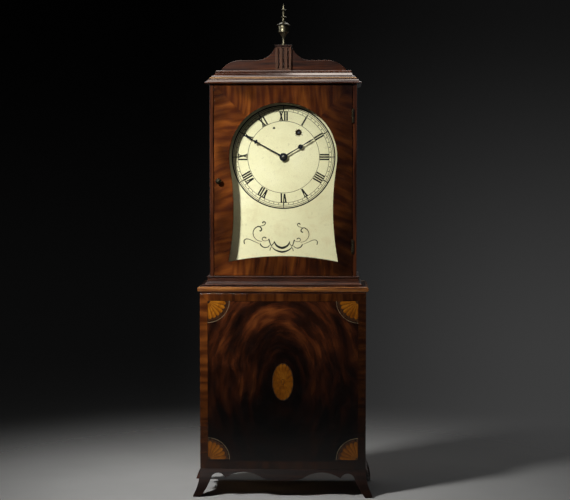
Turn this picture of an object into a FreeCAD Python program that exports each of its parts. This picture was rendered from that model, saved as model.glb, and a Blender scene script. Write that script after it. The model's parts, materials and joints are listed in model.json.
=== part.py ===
import FreeCAD, Part
import math
import os
import Sketcher
from FreeCAD import Vector

# A Federal shelf clock: a tall narrow hood with a kidney-shaped door opening stands on a box base with
# flared bracket feet. Inside are an eight-day weight-driven movement, its pendulum and its weight.
# Millimetres; +Z is up, the front faces -Y, and the origin is on the floor under the middle of the clock.

doc = FreeCAD.newDocument("shelf_clock")
sheet = doc.addObject("Spreadsheet::Sheet", "Sizes")


class Dim:
    """A size together with the sheet expression that makes it, so every size is written once."""

    def __init__(self, value, text=None):
        self.value = float(value)
        self.text = text if text is not None else repr(float(value))

    def __add__(self, other):
        other = dim(other)
        return Dim(self.value + other.value, "(%s + %s)" % (self.text, other.text))

    def __sub__(self, other):
        other = dim(other)
        return Dim(self.value - other.value, "(%s - %s)" % (self.text, other.text))

    def __mul__(self, other):
        other = dim(other)
        return Dim(self.value * other.value, "(%s * %s)" % (self.text, other.text))

    def __truediv__(self, other):
        other = dim(other)
        return Dim(self.value / other.value, "(%s / %s)" % (self.text, other.text))

    def __neg__(self):
        return Dim(-self.value, "(0 - %s)" % self.text)

    def __radd__(self, other):
        return dim(other) + self

    def __rsub__(self, other):
        return dim(other) - self

    def __rmul__(self, other):
        return dim(other) * self

    def __float__(self):
        return self.value


def dim(value):
    """A plain number becomes a Dim; a Dim stays as it is."""
    return value if isinstance(value, Dim) else Dim(value)


def root(value):
    """The square root of a Dim."""
    return Dim(math.sqrt(value.value), "sqrt(%s)" % value.text)


def size(alias, value, meaning):
    """A driving dimension: one row of the sheet, and the Dim that names it."""
    size.row += 1
    sheet.set("A%d" % size.row, meaning)
    sheet.set("B%d" % size.row, repr(float(value)))
    sheet.setAlias("B%d" % size.row, alias)
    return Dim(value, "Sizes.%s" % alias)


size.row = 0

# ---- driving dimensions: the case ---------------------------------------------------------------
base_half = size("base_half", 149.6, "half the width of the base")
hood_half = size("hood_half", 132.4, "half the width of the hood")
base_depth = size("base_depth", 145.0, "depth of the base, feet left out")
foot_flare = size("foot_flare", 12.0, "how far the feet flare outwards")
foot_height = size("foot_height", 49.5, "floor to the bottom of the base box")
panel_top = size("panel_top", 367.5, "top of the base front panel")
waist_level = size("waist_level", 381.0, "top of the base's top board, where the hood stands")
door_bottom = size("door_bottom", 398.7, "bottom edge of the door")
door_top = size("door_top", 741.6, "top edge of the door")
cornice_bottom = size("cornice_bottom", 743.5, "underside of the cornice")
cornice_top = size("cornice_top", 768.6, "top of the cornice")
shoulder_level = size("shoulder_level", 787.5, "flat shoulder of the crest")
plinth_top = size("plinth_top", 811.0, "top of the crest plinth, below its cap")
finial_foot = size("finial_foot", 814.5, "underside of the finial")
clock_top = size("clock_top", 889.0, "tip of the finial")
hood_setback = size("hood_setback", 17.0, "hood front behind base front")
board = size("board", 12.0, "thickness of the base's boards")
side_board = size("side_board", 10.0, "thickness of the hood's sides")
back_thick = size("back_thick", 8.0, "thickness of the back board")
door_thick = size("door_thick", 18.0, "thickness of the door")
side_reveal = size("side_reveal", 6.9, "width of side board seen beside the door")
door_gap = size("door_gap", 1.0, "gap between the door edge and the side")
crossband = size("crossband", 14.0, "width of the crossbanded border")
fan_radius = size("fan_radius", 33.0, "radius of a corner fan")
oval_level = size("oval_level", 208.0, "height of the middle of the oval inlay")
oval_height = size("oval_height", 67.4, "height of the oval inlay")
oval_width = size("oval_width", 38.0, "width of the oval inlay")
inlay_thick = size("inlay_thick", 0.9, "thickness of the inlaid veneer")

# ---- driving dimensions: the dial opening --------------------------------------------------------
dial_level = size("dial_level", 612.9, "height of the dial centre")
arch_radius = size("arch_radius", 97.2, "radius of the round top of the opening")
neck_half = size("neck_half", 89.8, "half the opening's width at its narrowest")
neck_level = size("neck_level", 499.5, "height of the opening's narrowest place")
skirt_half = size("skirt_half", 99.0, "half the opening's width at its bottom")
skirt_level = size("skirt_level", 423.9, "height of the opening's bottom corners")
skirt_rise = size("skirt_rise", 10.3, "rise of the opening's arched bottom edge")

# ---- driving dimensions: the movement, from the dial centre ---------------------------------------
wind_x = size("wind_x", 27.5, "winding arbor to the right of the dial centre")
wind_z = size("wind_z", 44.4, "winding arbor above the dial centre")
second_z = size("second_z", 29.6, "second arbor above the dial centre")
third_x = size("third_x", -17.5, "third arbor beside the dial centre")
escape_x = size("escape_x", -2.0, "escape arbor beside the dial centre")
great_module = size("great_module", 0.6, "tooth module of the great wheel")
train_module = size("train_module", 0.5, "tooth module of the second and third wheels")
minute_centre = size("minute_centre", 19.2, "hand arbor to minute wheel")
drum_radius = size("drum_radius", 6.0, "radius of the bare drum")
line_radius = size("line_radius", 0.5, "radius of the weight line")
pulley_radius = size("pulley_radius", 12.0, "pulley axle to the middle of the line")
pulley_level = size("pulley_level", 380.0, "height of the pulley with the clock half run")
pendulum_length = size("pendulum_length", 441.7, "pivot to the centre of the bob")
bob_radius = size("bob_radius", 38.0, "radius of the pendulum bob")
weight_height = size("weight_height", 120.0, "height of the driving weight")

doc.recompute()

# ---- places worked out from the driving dimensions -------------------------------------------------
depth = base_depth + foot_flare
rear = depth / 2                                  # back face of the clock
base_front = rear - base_depth                    # front face of the base
hood_front = base_front + hood_setback            # front face of the door and the hood's sides
back_inner = rear - back_thick                    # inner face of the back board
door_half = hood_half - side_reveal - door_gap
door_rear = hood_front + door_thick
panel_thick = board + 2
hinge_axis_x = door_half + 0.45
hinge_axis_y = hood_front - 2.3
knob_x = -(door_half - 8.5)
knob_level = dial_level - 44.0

second_rise = second_z
third_z = second_z + root(Dim(22.0 ** 2) - third_x * third_x)
escape_z = third_z + root(Dim(20.0 ** 2) - (escape_x - third_x) * (escape_x - third_x))
escape_radius = Dim(16.0)
pallet_z = escape_z + root(escape_radius * escape_radius * 2 - escape_x * escape_x)

dial_front = hood_front + 22.5
dial_thick = Dim(1.2)
plate_front = dial_front + 13.0                   # front face of the front plate
plate_thick = Dim(2.0)
plates_apart = Dim(30.0)
back_plate_front = plate_front + plate_thick + plates_apart
pendulum_y = back_plate_front + 14.0
seat_top = dial_level - 37.0
seat_thick = Dim(14.0)
line_reach = drum_radius + line_radius            # drum axis to the middle of the line
line_x = wind_x + line_reach
line_y = plate_front + plate_thick + 16.0
pulley_x = line_x + pulley_radius
line_bore = Dim(1.5)

nodes = []


def keep(obj, label):
    """Give a finished sub-part its own name and remember it."""
    obj.Label = label
    nodes.append(obj)
    return obj


def bind(obj, **properties):
    """Set each named property to a Dim, by value and by expression."""
    for name, value in properties.items():
        value = dim(value)
        setattr(obj, name, value.value)
        obj.setExpression(name, value.text)


def place(obj, x=0, y=0, z=0):
    """Put an object at a place that follows the sheet."""
    for axis, value in (("x", x), ("y", y), ("z", z)):
        value = dim(value)
        obj.setExpression(".Placement.Base.%s" % axis, value.text)
    base = Vector(dim(x).value, dim(y).value, dim(z).value)
    obj.Placement = FreeCAD.Placement(base, obj.Placement.Rotation)


def block(name, x, y, z):
    """A box from its (low, high) limits on each axis."""
    obj = doc.addObject("Part::Box", name)
    limits = [(dim(low), dim(high)) for low, high in (x, y, z)]
    lengths = [high - low for low, high in limits]
    bind(obj, Length=lengths[0], Width=lengths[1], Height=lengths[2])
    place(obj, limits[0][0], limits[1][0], limits[2][0])
    return obj


TURN = {
    "x": FreeCAD.Rotation(Vector(0, 1, 0), 90),
    "y": FreeCAD.Rotation(Vector(1, 0, 0), -90),
    "z": FreeCAD.Rotation(),
}


def rod(name, axis, radius, x, y, z):
    """A cylinder along one axis; the limits along that axis are a (low, high) pair."""
    obj = doc.addObject("Part::Cylinder", name)
    span = {"x": x, "y": y, "z": z}[axis]
    low, high = dim(span[0]), dim(span[1])
    bind(obj, Radius=radius, Height=high - low)
    obj.Placement = FreeCAD.Placement(Vector(), TURN[axis])
    start = {"x": x, "y": y, "z": z}
    start[axis] = low
    place(obj, start["x"], start["y"], start["z"])
    return obj


def join(name, *pieces):
    """Several overlapping pieces made one."""
    obj = doc.addObject("Part::MultiFuse", name)
    obj.Shapes = list(pieces)
    obj.Refine = True
    return obj


def group(name, *pieces):
    """Several separate solids kept together as one sub-part."""
    obj = doc.addObject("Part::Compound", name)
    obj.Links = list(pieces)
    return obj


def cut(name, base, *tools):
    """A piece with other shapes cut out of it."""
    tool = tools[0] if len(tools) == 1 else join(name + "_tools", *tools)
    obj = doc.addObject("Part::Cut", name)
    obj.Base = base
    obj.Tool = tool
    obj.Refine = True
    return obj


def new_body(name):
    return doc.addObject("PartDesign::Body", name)


def outline(body, name, role, points):
    """A sketch on one of the body's own planes.

    Each point is (across, up), or (across, up, radius) where the edge that arrives there is an arc. A
    positive radius bulges to the left of the way the outline runs, a negative one to the right.
    """
    sketch = body.newObject("Sketcher::SketchObject", name)
    plane = [part for part in body.Origin.OriginFeatures if part.Role == role][0]
    sketch.AttachmentSupport = (plane, [""])
    sketch.MapMode = "FlatFace"
    for index, point in enumerate(points):
        start = corner(points[index - 1])
        end = corner(point)
        if len(point) == 3:
            sketch.addGeometry(arc_between(start, end, dim(point[2]).value), False)
        else:
            sketch.addGeometry(Part.LineSegment(start, end), False)
    fix_outline(sketch, points)
    return sketch


def corner(point):
    """The place of an outline's point, as a plain vector."""
    return Vector(dim(point[0]).value, dim(point[1]).value, 0)


def arc_between(start, end, radius):
    """The shorter arc of a circle between two points, bulging to the left where the radius is positive."""
    chord = end - start
    left = Vector(-chord.y, chord.x, 0).normalize()
    reach = math.sqrt(max(radius * radius - chord.Length ** 2 / 4, 0))
    side = 1 if radius > 0 else -1
    centre = (start + end) * 0.5 - left * (side * reach)
    first, last = (end, start) if side > 0 else (start, end)
    first_angle = math.atan2(first.y - centre.y, first.x - centre.x)
    last_angle = math.atan2(last.y - centre.y, last.x - centre.x)
    if last_angle <= first_angle:
        last_angle += 2 * math.pi
    return Part.ArcOfCircle(Part.Circle(centre, Vector(0, 0, 1), abs(radius)), first_angle, last_angle)


def fix_outline(sketch, points):
    """Constrain every corner of an outline to its place and every arc to its radius."""
    for index, point in enumerate(points):
        following = (index + 1) % len(points)
        here = 1 if len(point) == 3 and dim(point[2]).value > 0 else 2
        there = 2 if len(points[following]) == 3 and dim(points[following][2]).value > 0 else 1
        sketch.addConstraint(Sketcher.Constraint("Coincident", index, here, following, there))
        for kind, value in (("DistanceX", dim(point[0])), ("DistanceY", dim(point[1]))):
            number = sketch.addConstraint(Sketcher.Constraint(kind, index, here, value.value))
            sketch.setExpression("Constraints[%d]" % number, value.text)
        if len(point) == 3:
            radius = dim(point[2])
            radius = radius if radius.value > 0 else -radius
            number = sketch.addConstraint(Sketcher.Constraint("Radius", index, radius.value))
            sketch.setExpression("Constraints[%d]" % number, radius.text)


def pad(body, sketch, length, backwards=False):
    feature = body.newObject("PartDesign::Pad", sketch.Name + "_pad")
    feature.Profile = sketch
    bind(feature, Length=length)
    feature.Reversed = backwards
    sketch.Visibility = False
    doc.recompute()
    return feature


def pocket_through(body, sketch):
    """Cut an outline right through the body, both ways."""
    before = body.Shape.Volume
    feature = body.newObject("PartDesign::Pocket", sketch.Name + "_pocket")
    feature.Profile = sketch
    feature.Type = 1
    feature.Midplane = True
    doc.recompute()
    if not feature.Shape.Volume < before - 1e-3:
        raise RuntimeError("pocket %s cuts nothing" % sketch.Name)
    return feature


def turned(name, points, role="XZ_Plane", axis="V_Axis"):
    """A lathe-turned body: an outline revolved about one of its sketch's own axes."""
    body = new_body(name)
    sketch = outline(body, name + "_profile", role, points)
    feature = body.newObject("PartDesign::Revolution", name + "_turning")
    feature.Profile = sketch
    feature.ReferenceAxis = (sketch, [axis])
    feature.Angle = 360
    doc.recompute()
    return body


def across_clock(name, points, front, rear_face):
    """A front-view outline (x, z) with thickness from front to rear."""
    body = new_body(name)
    sketch = outline(body, name + "_outline", "XZ_Plane", points)
    pad(body, sketch, dim(rear_face) - dim(front))
    place(body, 0, rear_face, 0)
    return body


def bow(chord, rise):
    """The radius of an arc from its chord and how far it rises from it."""
    chord = dim(chord)
    rise = dim(rise)
    return chord * chord / (rise * 8) + rise / 2


def mirrored_points(half):
    """A right-hand run of points from the bottom up, followed by its mirror image back down."""
    left = []
    for index in range(len(half) - 1, -1, -1):
        point = half[index]
        bulge = half[index + 1][2:] if index + 1 < len(half) else ()
        left.append((-dim(point[0]), point[1]) + tuple(bulge))
    return list(half) + left


def from_shape(name, shape):
    """A sub-part whose shape is worked out directly, where sketches and primitives do not fit."""
    obj = doc.addObject("Part::Feature", name)
    obj.Shape = shape
    return obj


# ---- the case: base ---------------------------------------------------------------------------------
def fan_face(corner_x, corner_z, way_x, way_z):
    """The flat face of one corner fan: a quarter circle whose rim is scalloped into petals."""
    petals = 6
    scallop = 0.07
    hub = 0.16
    radius = fan_radius.value
    steps = 8 * petals
    points = []
    for index in range(steps + 1):
        angle = math.pi / 2 * index / steps
        rim = radius * (1 - scallop + scallop * abs(math.sin(2 * angle * petals / 2)))
        points.append((rim * math.cos(angle), rim * math.sin(angle)))
    for index in range(5):
        angle = math.pi / 2 * (1 - index / 4)
        points.append((hub * radius * math.cos(angle), hub * radius * math.sin(angle)))
    corners = [Vector(corner_x + way_x * u, 0, corner_z + way_z * v) for u, v in points]
    return Part.Face(Part.makePolygon(corners + corners[:1]))


def build_inlays():
    """Four corner fans and the oval patera, let into the face of the base panel."""
    fan_x = (base_half - crossband).value
    low = (foot_height + crossband + 3.1).value
    high = (panel_top - crossband + 0.8).value
    faces = [fan_face(side * fan_x, level, -side, way)
             for side in (-1, 1) for level, way in ((low, 1), (high, -1))]
    tall, wide = oval_height.value / 2, oval_width.value / 2
    upright = Part.Ellipse(Vector(0, tall, 0), Vector(wide, 0, 0), Vector(0, 0, 0)).toShape()
    upright.rotate(Vector(0, 0, 0), Vector(1, 0, 0), 90)
    upright.translate(Vector(0, 0, oval_level.value))
    faces.append(Part.Face(Part.Wire(upright)))
    solids = [face.extrude(Vector(0, inlay_thick.value, 0)) for face in faces]
    inlays = from_shape("panel_inlays", Part.makeCompound(solids))
    place(inlays, 0, base_front, 0)
    return inlays


panel_inlays = build_inlays()
front_board = block("front_board", (-base_half, base_half), (base_front, base_front + panel_thick),
                    (foot_height, panel_top))
keep(cut("front_panel_cut", front_board, panel_inlays), "base_front_panel")
keep(panel_inlays, "panel_inlays")

for side, label in ((-1, "base_left_side"), (1, "base_right_side")):
    edges = (base_half - board, base_half) if side > 0 else (-base_half, board - base_half)
    keep(block(label + "_board", edges, (base_front + panel_thick, back_inner), (foot_height, panel_top)),
         label)

keep(block("bottom_board", (board - base_half, base_half - board), (base_front + panel_thick, back_inner),
           (foot_height, foot_height + board)), "base_bottom_board")

shaft_half = Dim(115)                             # half the opening that the pendulum and weight hang through
shaft_ledge = Dim(8)                              # board left between that opening and the back board
waist_slab = block("waist_slab", (-base_half, base_half), (base_front, back_inner), (panel_top, waist_level))
shaft = block("waist_shaft", (-shaft_half, shaft_half), (dial_front, back_inner - shaft_ledge),
              (panel_top, waist_level))
keep(cut("waist_board_cut", waist_slab, shaft), "base_top_board")


def moulding(name, half, front, back, steps):
    """A slab with the same moulded edge on its sides and front, mitred at the front corners.

    The edge is a run of (inset, level) steps from the bottom up; a third number is the radius of the arc that
    arrives there, positive where it bulges outwards and negative where it is hollow.
    """
    body = new_body(name)
    side_run = [(half - step[0], step[1]) + tuple(-dim(radius) for radius in step[2:]) for step in steps]
    plan = outline(body, name + "_sides", "XZ_Plane", mirrored_points(side_run))
    pad(body, plan, back - front)
    place(body, 0, back, 0)
    edge = front - back
    front_run = [(edge + step[0], step[1]) + tuple(step[2:]) for step in steps]
    waste = [(edge - 5, steps[0][1])] + front_run + [(edge - 5, steps[-1][1])]
    pocket_through(body, outline(body, name + "_front", "YZ_Plane", waste))
    return body


bead_reach = Dim(4.4)
bead_low, bead_high = panel_top + 3, panel_top + 12.5
base_bead = moulding("base_bead", base_half + bead_reach, base_front - bead_reach, rear,
                     [(3, bead_low), (3, bead_high, bow(bead_high - bead_low, 3))])
keep(cut("base_bead_cut", base_bead,
         block("base_bead_space", (-base_half, base_half), (base_front, rear + 1), (panel_top, waist_level))),
     "base_top_moulding")


# ---- the case: bracket feet and aprons ---------------------------------------------------------------
apron_thick = Dim(16)
toe = Dim(3)
flare_rise = foot_height - toe
flare_radius = (flare_rise * flare_rise + foot_flare * foot_flare) / (foot_flare * 2)
foot_curve = bow(42, 1.8)                         # the hollow of a foot's inner edge
heel_inset = Dim(0.6)                             # insets are measured in from the base's edge
knee_inset, knee_level = Dim(21.1), Dim(36.9)     # where a foot's inner edge meets the apron
spur_inset, spur_level = Dim(45.4), Dim(34.2)     # the apron's low point beside a foot
spur_curve = bow(24.5, 7)


def foot_run(edge):
    """The inner curve of a bracket foot and the small arch beside it, running out to the base's edge."""
    return [(edge - spur_inset, spur_level), (edge - knee_inset, knee_level, spur_curve),
            (edge - heel_inset, 0, -foot_curve)]


def build_front_apron():
    half = [(34.9, 33.3, -bow(69.8, 3.6))]
    half += [(base_half - spur_inset, spur_level, bow(69.3, 10.3))] + foot_run(base_half)[1:]
    half += [(base_half + foot_flare, 0), (base_half + foot_flare, toe)]
    half += [(base_half, foot_height, flare_radius)]
    body = new_body("front_apron_body")
    pad(body, outline(body, "apron_outline", "XZ_Plane", mirrored_points(half)), apron_thick + foot_flare)
    place(body, 0, base_front + apron_thick, 0)
    face = -apron_thick
    nose = face - foot_flare
    waste = [(nose - 5, toe), (nose, toe), (face, foot_height, flare_radius), (face, foot_height + 5),
             (nose - 5, foot_height + 5)]
    pocket_through(body, outline(body, "apron_flare", "YZ_Plane", waste))
    heel = [(face + knee_inset + 4, 0), (face + knee_inset, knee_level), (face + heel_inset, 0, foot_curve)]
    pocket_through(body, outline(body, "apron_heel", "YZ_Plane", heel))
    return body


def build_side_apron(side, name):
    """One side's apron with the sides of a front foot and a rear foot; side is +1 on the right."""
    start = base_front + apron_thick
    run = [(start, 27.5), (base_front + knee_inset, knee_level, foot_curve)]
    run += [(base_front + spur_inset, spur_level, spur_curve), (rear - spur_inset, spur_level, bow(54, 9))]
    run += foot_run(rear)[1:]
    run += [(rear, 0), (rear, foot_height), (start, foot_height)]
    body = new_body(name + "_body")
    inner = base_half - apron_thick
    pad(body, outline(body, name + "_outline", "YZ_Plane", run), apron_thick + foot_flare, side < 0)
    place(body, inner if side > 0 else -inner, 0, 0)
    face = apron_thick * side
    nose = face + foot_flare * side
    waste = [(nose + 5 * side, toe), (nose, toe), (face, foot_height, -flare_radius * side),
             (face, foot_height + 5), (nose + 5 * side, foot_height + 5)]
    pocket_through(body, outline(body, name + "_flare", "XZ_Plane", waste))
    heel = [(-side * 5, 0), ((apron_thick - knee_inset) * side, knee_level),
            ((apron_thick - heel_inset) * side, 0, -foot_curve * side)]
    pocket_through(body, outline(body, name + "_heel", "XZ_Plane", heel))
    return body


keep(build_front_apron(), "front_apron")
for side, label in ((-1, "left_apron"), (1, "right_apron")):
    keep(build_side_apron(side, label), label)

block_reach = 12
block_high = 9
blocks = []
for side in (-1, 1):
    inner = (base_half - apron_thick) * side
    across = (inner - block_reach, inner) if side > 0 else (inner, inner + block_reach)
    for end, along in (("front", (base_front + apron_thick, base_front + apron_thick + 25)),
                       ("rear", (back_inner - 25, back_inner))):
        blocks.append(block("foot_block_%s_%d" % (end, side + 1), across, along,
                            (foot_height - block_high, foot_height)))
keep(group("foot_block_set", *blocks), "foot_blocks")

# ---- the case: hood ------------------------------------------------------------------------------------
hinge_height = Dim(24)
hinge_levels = {"upper": dial_level + 73.8, "lower": dial_level - 161.1}
leaf_thick = Dim(0.9)
leaf_depth = Dim(12)
knuckle_radius = Dim(2.2)
tongue_reach = Dim(14)
tongue_rear = door_rear + 2.6


def leaf_pocket(name, low_x, high_x):
    """The shallow mortises that the hinge leaves lie in, one at each hinge."""
    return [block("%s_%s" % (name, where), (low_x, high_x), (hood_front - 1, hood_front + leaf_depth),
                  (level - hinge_height / 2, level + hinge_height / 2))
            for where, level in hinge_levels.items()]


def build_hood_side(side, label):
    edges = (hood_half - side_board, hood_half) if side > 0 else (-hood_half, side_board - hood_half)
    plank = block(label + "_board", edges, (hood_front, back_inner), (waist_level, cornice_bottom))
    lap = (hood_half - side_board - 1, hood_half - side_reveal)
    lap = lap if side > 0 else (-lap[1], -lap[0])
    spaces = [block(label + "_rebate", lap, (hood_front - 1, door_rear + 0.5),
                    (door_bottom - 0.7, cornice_bottom + 1))]
    if side > 0:
        spaces += leaf_pocket(label + "_mortise", hinge_axis_x - 0.95, hinge_axis_x + leaf_thick + 0.15)
    else:
        spaces.append(block(label + "_latch_slot", (knob_x - tongue_reach - 1, 1 - hood_half + side_board),
                            (door_rear - 1, tongue_rear + 0.4),
                            (knob_level - 4, knob_level + tongue_reach + 1)))
    return cut(label + "_cut", plank, *spaces)


for side, label in ((-1, "hood_left_side"), (1, "hood_right_side")):
    keep(build_hood_side(side, label), label)

waist_reach = Dim(10)
waist_slab = moulding("waist_moulding_slab", hood_half + waist_reach, hood_front - waist_reach, rear,
                      [(1.2, waist_level), (1.2, waist_level + 3, bow(3, 1.2)),
                       (5.4, waist_level + 6.6, -bow(5.5, 1)), (5.8, waist_level + 7.2),
                       (5.8, door_bottom - 5.4), (7.4, door_bottom - 4.8),
                       (7.4, door_bottom - 4), (5.6, door_bottom - 3.6),
                       (5.6, door_bottom - 0.7, bow(2.9, 1))])
keep(cut("waist_moulding_cut", waist_slab,
         block("waist_rear_space", (-hood_half, hood_half), (hood_front + 16, rear + 1),
               (waist_level - 1, door_bottom)),
         block("waist_left_space", (-hood_half, side_board - hood_half), (hood_front, hood_front + 17),
               (waist_level - 1, door_bottom)),
         block("waist_right_space", (hood_half - side_board, hood_half), (hood_front, hood_front + 17),
               (waist_level - 1, door_bottom))), "waist_moulding")

hood_board = block("hood_board", (-hood_half, hood_half), (hood_front, back_inner),
                   (cornice_bottom, cornice_bottom + board))
keep(hood_board, "hood_top_board")

cornice_reach = Dim(9.6)
cornice_steps = [(6, 0), (1, 1.6), (1, 3.2), (6.5, 8.2, -bow(7.4, 1.1)), (8.5, 8.8), (8.5, 10.2),
                 (11.5, 10.6), (15.5, 15.6, bow(6.4, 1.4)), (17, 16.2), (19, 20.4), (20.4, 21.2)]
cornice_slab = moulding("cornice_slab", hood_half + cornice_reach, hood_front - cornice_reach, rear,
                        [(step[0], cornice_bottom + step[1]) + step[2:] for step in cornice_steps]
                        + [(21.4, cornice_top, bow(4, 1.3))])
keep(cut("cornice_cut", cornice_slab,
         block("cornice_space", (-hood_half, hood_half), (hood_front, rear + 1),
               (cornice_bottom - 1, cornice_bottom + board))), "cornice_moulding")

crest_thick = Dim(12)
crest_front = hood_front + 19                     # the plinth stands just behind the cornice's top edge
crest_half = Dim(114)
shoulder_run = Dim(36)
shoulder_rise = shoulder_level - cornice_top
shoulder_curve = (shoulder_run * shoulder_run + shoulder_rise * shoulder_rise) / (shoulder_rise * 2)
neck_run = Dim(33)
neck_rise = plinth_top - 1.5 - shoulder_level
neck_curve = (neck_run * neck_run + neck_rise * neck_rise) / (neck_rise * 2)
crest_points = [(crest_half, cornice_top), (crest_half - shoulder_run, shoulder_level, -shoulder_curve),
                (16 + neck_run, shoulder_level), (16, plinth_top - 1.5, neck_curve), (12, plinth_top - 1.5)]
crest_rear = crest_front + crest_thick
keep(across_clock("crest_body", mirrored_points(crest_points), crest_front, crest_rear), "crest_board")

plinth_half = Dim(14)
plinth_proud = Dim(5)                             # how far the plinth stands out from the crest board
cap_proud = Dim(1.6)                              # how far its cap stands out from the plinth
plinth_y = (crest_front - plinth_proud, crest_rear + plinth_proud)
plinth_block = join("plinth_block",
                    block("plinth_shaft", (-plinth_half, plinth_half), plinth_y, (cornice_top, plinth_top)),
                    block("plinth_cap", (-plinth_half - cap_proud, plinth_half + cap_proud),
                          (plinth_y[0] - cap_proud, plinth_y[1] + cap_proud), (plinth_top, finial_foot)))
flutes = [rod("plinth_flute_%d" % index, "z", 1.7, (index - 1) * 8.4, plinth_y[0] - 0.4,
              (cornice_top + 3, plinth_top - 2.5)) for index in range(3)]
finial_y = crest_front + crest_thick / 2
spigot = rod("finial_socket", "z", 3, 0, finial_y, (plinth_top, finial_foot + 1))
crest_slot = block("crest_slot", (-plinth_half - 1, plinth_half + 1), (crest_front, crest_rear),
                   (cornice_top - 1, plinth_top - 1.5))
keep(cut("plinth_cut", plinth_block, crest_slot, spigot, *flutes), "crest_plinth")


def build_finial():
    """A lathe-turned brass urn: flared foot, narrow waist, tapering body, domed lid and a tall spire."""
    tall = clock_top - finial_foot
    profile = [(0, -3.5), (3, -3.5), (3, 0), (6, 0), (6.2, 1.8), (5.2, 3.2, 2.6), (2.6, 8.5, 9), (2.8, 11.5),
               (4.6, 13.2), (5, 15), (6.2, 18), (10.5, 27, -34), (12.6, 34, -30), (12.4, 36.5), (9.5, 38.6),
               (6.5, 41, 9), (3, 43.6), (2.6, 46.5), (5, 48.2), (5, 49.6), (2.4, 51.5), (2, 58), (3.2, 60.5),
               (3.2, 61.6), (1.8, 63.4), (0.5, tall), (0, tall)]
    body = turned("finial_body", profile)
    place(body, 0, finial_y, finial_foot)
    return body


keep(build_finial(), "finial")

back_outline = [(base_half, waist_level), (hood_half, waist_level), (hood_half, cornice_bottom + board)]
back_half = [(base_half, foot_height)] + back_outline
keep(across_clock("back_body", mirrored_points(back_half), back_inner, rear), "back_board")


# ---- the door ----------------------------------------------------------------------------------------------
def opening_outline():
    """The kidney-shaped opening: a round arch, sides that pinch in at a neck, and an arched lower edge."""
    turn_angle = math.radians(10)
    turn_x = arch_radius * math.cos(turn_angle)
    turn_z = dial_level - arch_radius * math.sin(turn_angle)
    side_curve = bow(turn_z - skirt_level, (turn_x + skirt_half) / 2 - neck_half)
    arch = arch_radius
    return [(skirt_half, skirt_level, bow(skirt_half * 2, skirt_rise)),
            (turn_x, turn_z, side_curve), (arch, dial_level, -arch), (0, dial_level + arch, -arch),
            (-arch, dial_level, -arch), (-turn_x, turn_z, -arch), (-skirt_half, skirt_level, side_curve)]


glass_low = Dim(414)
glass_high = Dim(724)
glass_half = Dim(106)
glass_front = hood_front + 9.5
glass_thick = Dim(2)


def build_door_frame():
    body = new_body("door_body")
    edge = [(-door_half, door_bottom), (door_half, door_bottom), (door_half, door_top),
            (-door_half, door_top)]
    pad(body, outline(body, "door_edge", "XZ_Plane", edge), door_thick)
    place(body, 0, door_rear, 0)
    pocket_through(body, outline(body, "door_opening", "XZ_Plane", opening_outline()))
    rebate_space = block("glass_rebate", (-glass_half - 0.1, glass_half + 0.1), (glass_front, door_rear + 1),
                         (glass_low - 0.1, glass_high + 0.1))
    mortises = leaf_pocket("door_mortise", hinge_axis_x - 1.05, hinge_axis_x + 1)
    bore = rod("knob_bore", "y", 2.55, knob_x, (hood_front - 1, door_rear + 1), knob_level)
    return cut("door_frame_cut", body, rebate_space, bore, *mortises)


keep(build_door_frame(), "door_frame")
keep(block("door_pane", (-glass_half, glass_half), (glass_front, glass_front + glass_thick),
           (glass_low, glass_high)), "door_glass")


# ---- hinges ------------------------------------------------------------------------------------------------
pin_radius = Dim(0.9)
knuckle_split = hinge_height / 3


def build_hinge(where, level):
    """One butt hinge: the case leaf with its pin and two knuckles, and the door leaf with the middle one."""
    low = level - hinge_height / 2
    high = level + hinge_height / 2
    middle = (low + knuckle_split + 0.1, high - knuckle_split - 0.1)
    leaf_y = (hinge_axis_y, hood_front + leaf_depth)
    case_x = (hinge_axis_x + 0.05, hinge_axis_x + 0.05 + leaf_thick)
    door_x = (hinge_axis_x - 0.05 - leaf_thick, hinge_axis_x - 0.05)
    name = where + "_hinge_"
    knuckles = [rod(name + "knuckle_%d" % index, "z", knuckle_radius, hinge_axis_x, hinge_axis_y, span)
                for index, span in enumerate(((low, low + knuckle_split), (high - knuckle_split, high)))]
    pin = rod(name + "pin", "z", pin_radius, hinge_axis_x, hinge_axis_y, (low - 1, high + 1))
    gap = rod(name + "gap", "z", knuckle_radius + 0.25, hinge_axis_x, hinge_axis_y,
              (low + knuckle_split, high - knuckle_split))
    case_leaf = cut(name + "case_leaf", block(name + "case_plate", case_x, leaf_y, (low, high)), gap)
    case_half = join(name + "case_half", case_leaf, pin, *knuckles)
    sleeve = rod(name + "sleeve", "z", knuckle_radius, hinge_axis_x, hinge_axis_y, middle)
    clear = [rod(name + "clear_%d" % index, "z", knuckle_radius + 0.25, hinge_axis_x, hinge_axis_y, span)
             for index, span in enumerate(((low - 1, middle[0]), (middle[1], high + 1)))]
    door_leaf = cut(name + "door_leaf", block(name + "door_plate", door_x, leaf_y, (low, high)), *clear)
    bore = rod(name + "bore", "z", pin_radius + 0.05, hinge_axis_x, hinge_axis_y, (low - 2, high + 2))
    door_side = cut(name + "door_half", join(name + "door_join", door_leaf, sleeve), bore)
    return case_half, door_side


hinges = [build_hinge(where, level) for where, level in hinge_levels.items()]
keep(group("case_leaf_pair", *[pair[0] for pair in hinges]), "hinge_case_leaves")
keep(group("door_leaf_pair", *[pair[1] for pair in hinges]), "hinge_door_leaves")


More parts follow.
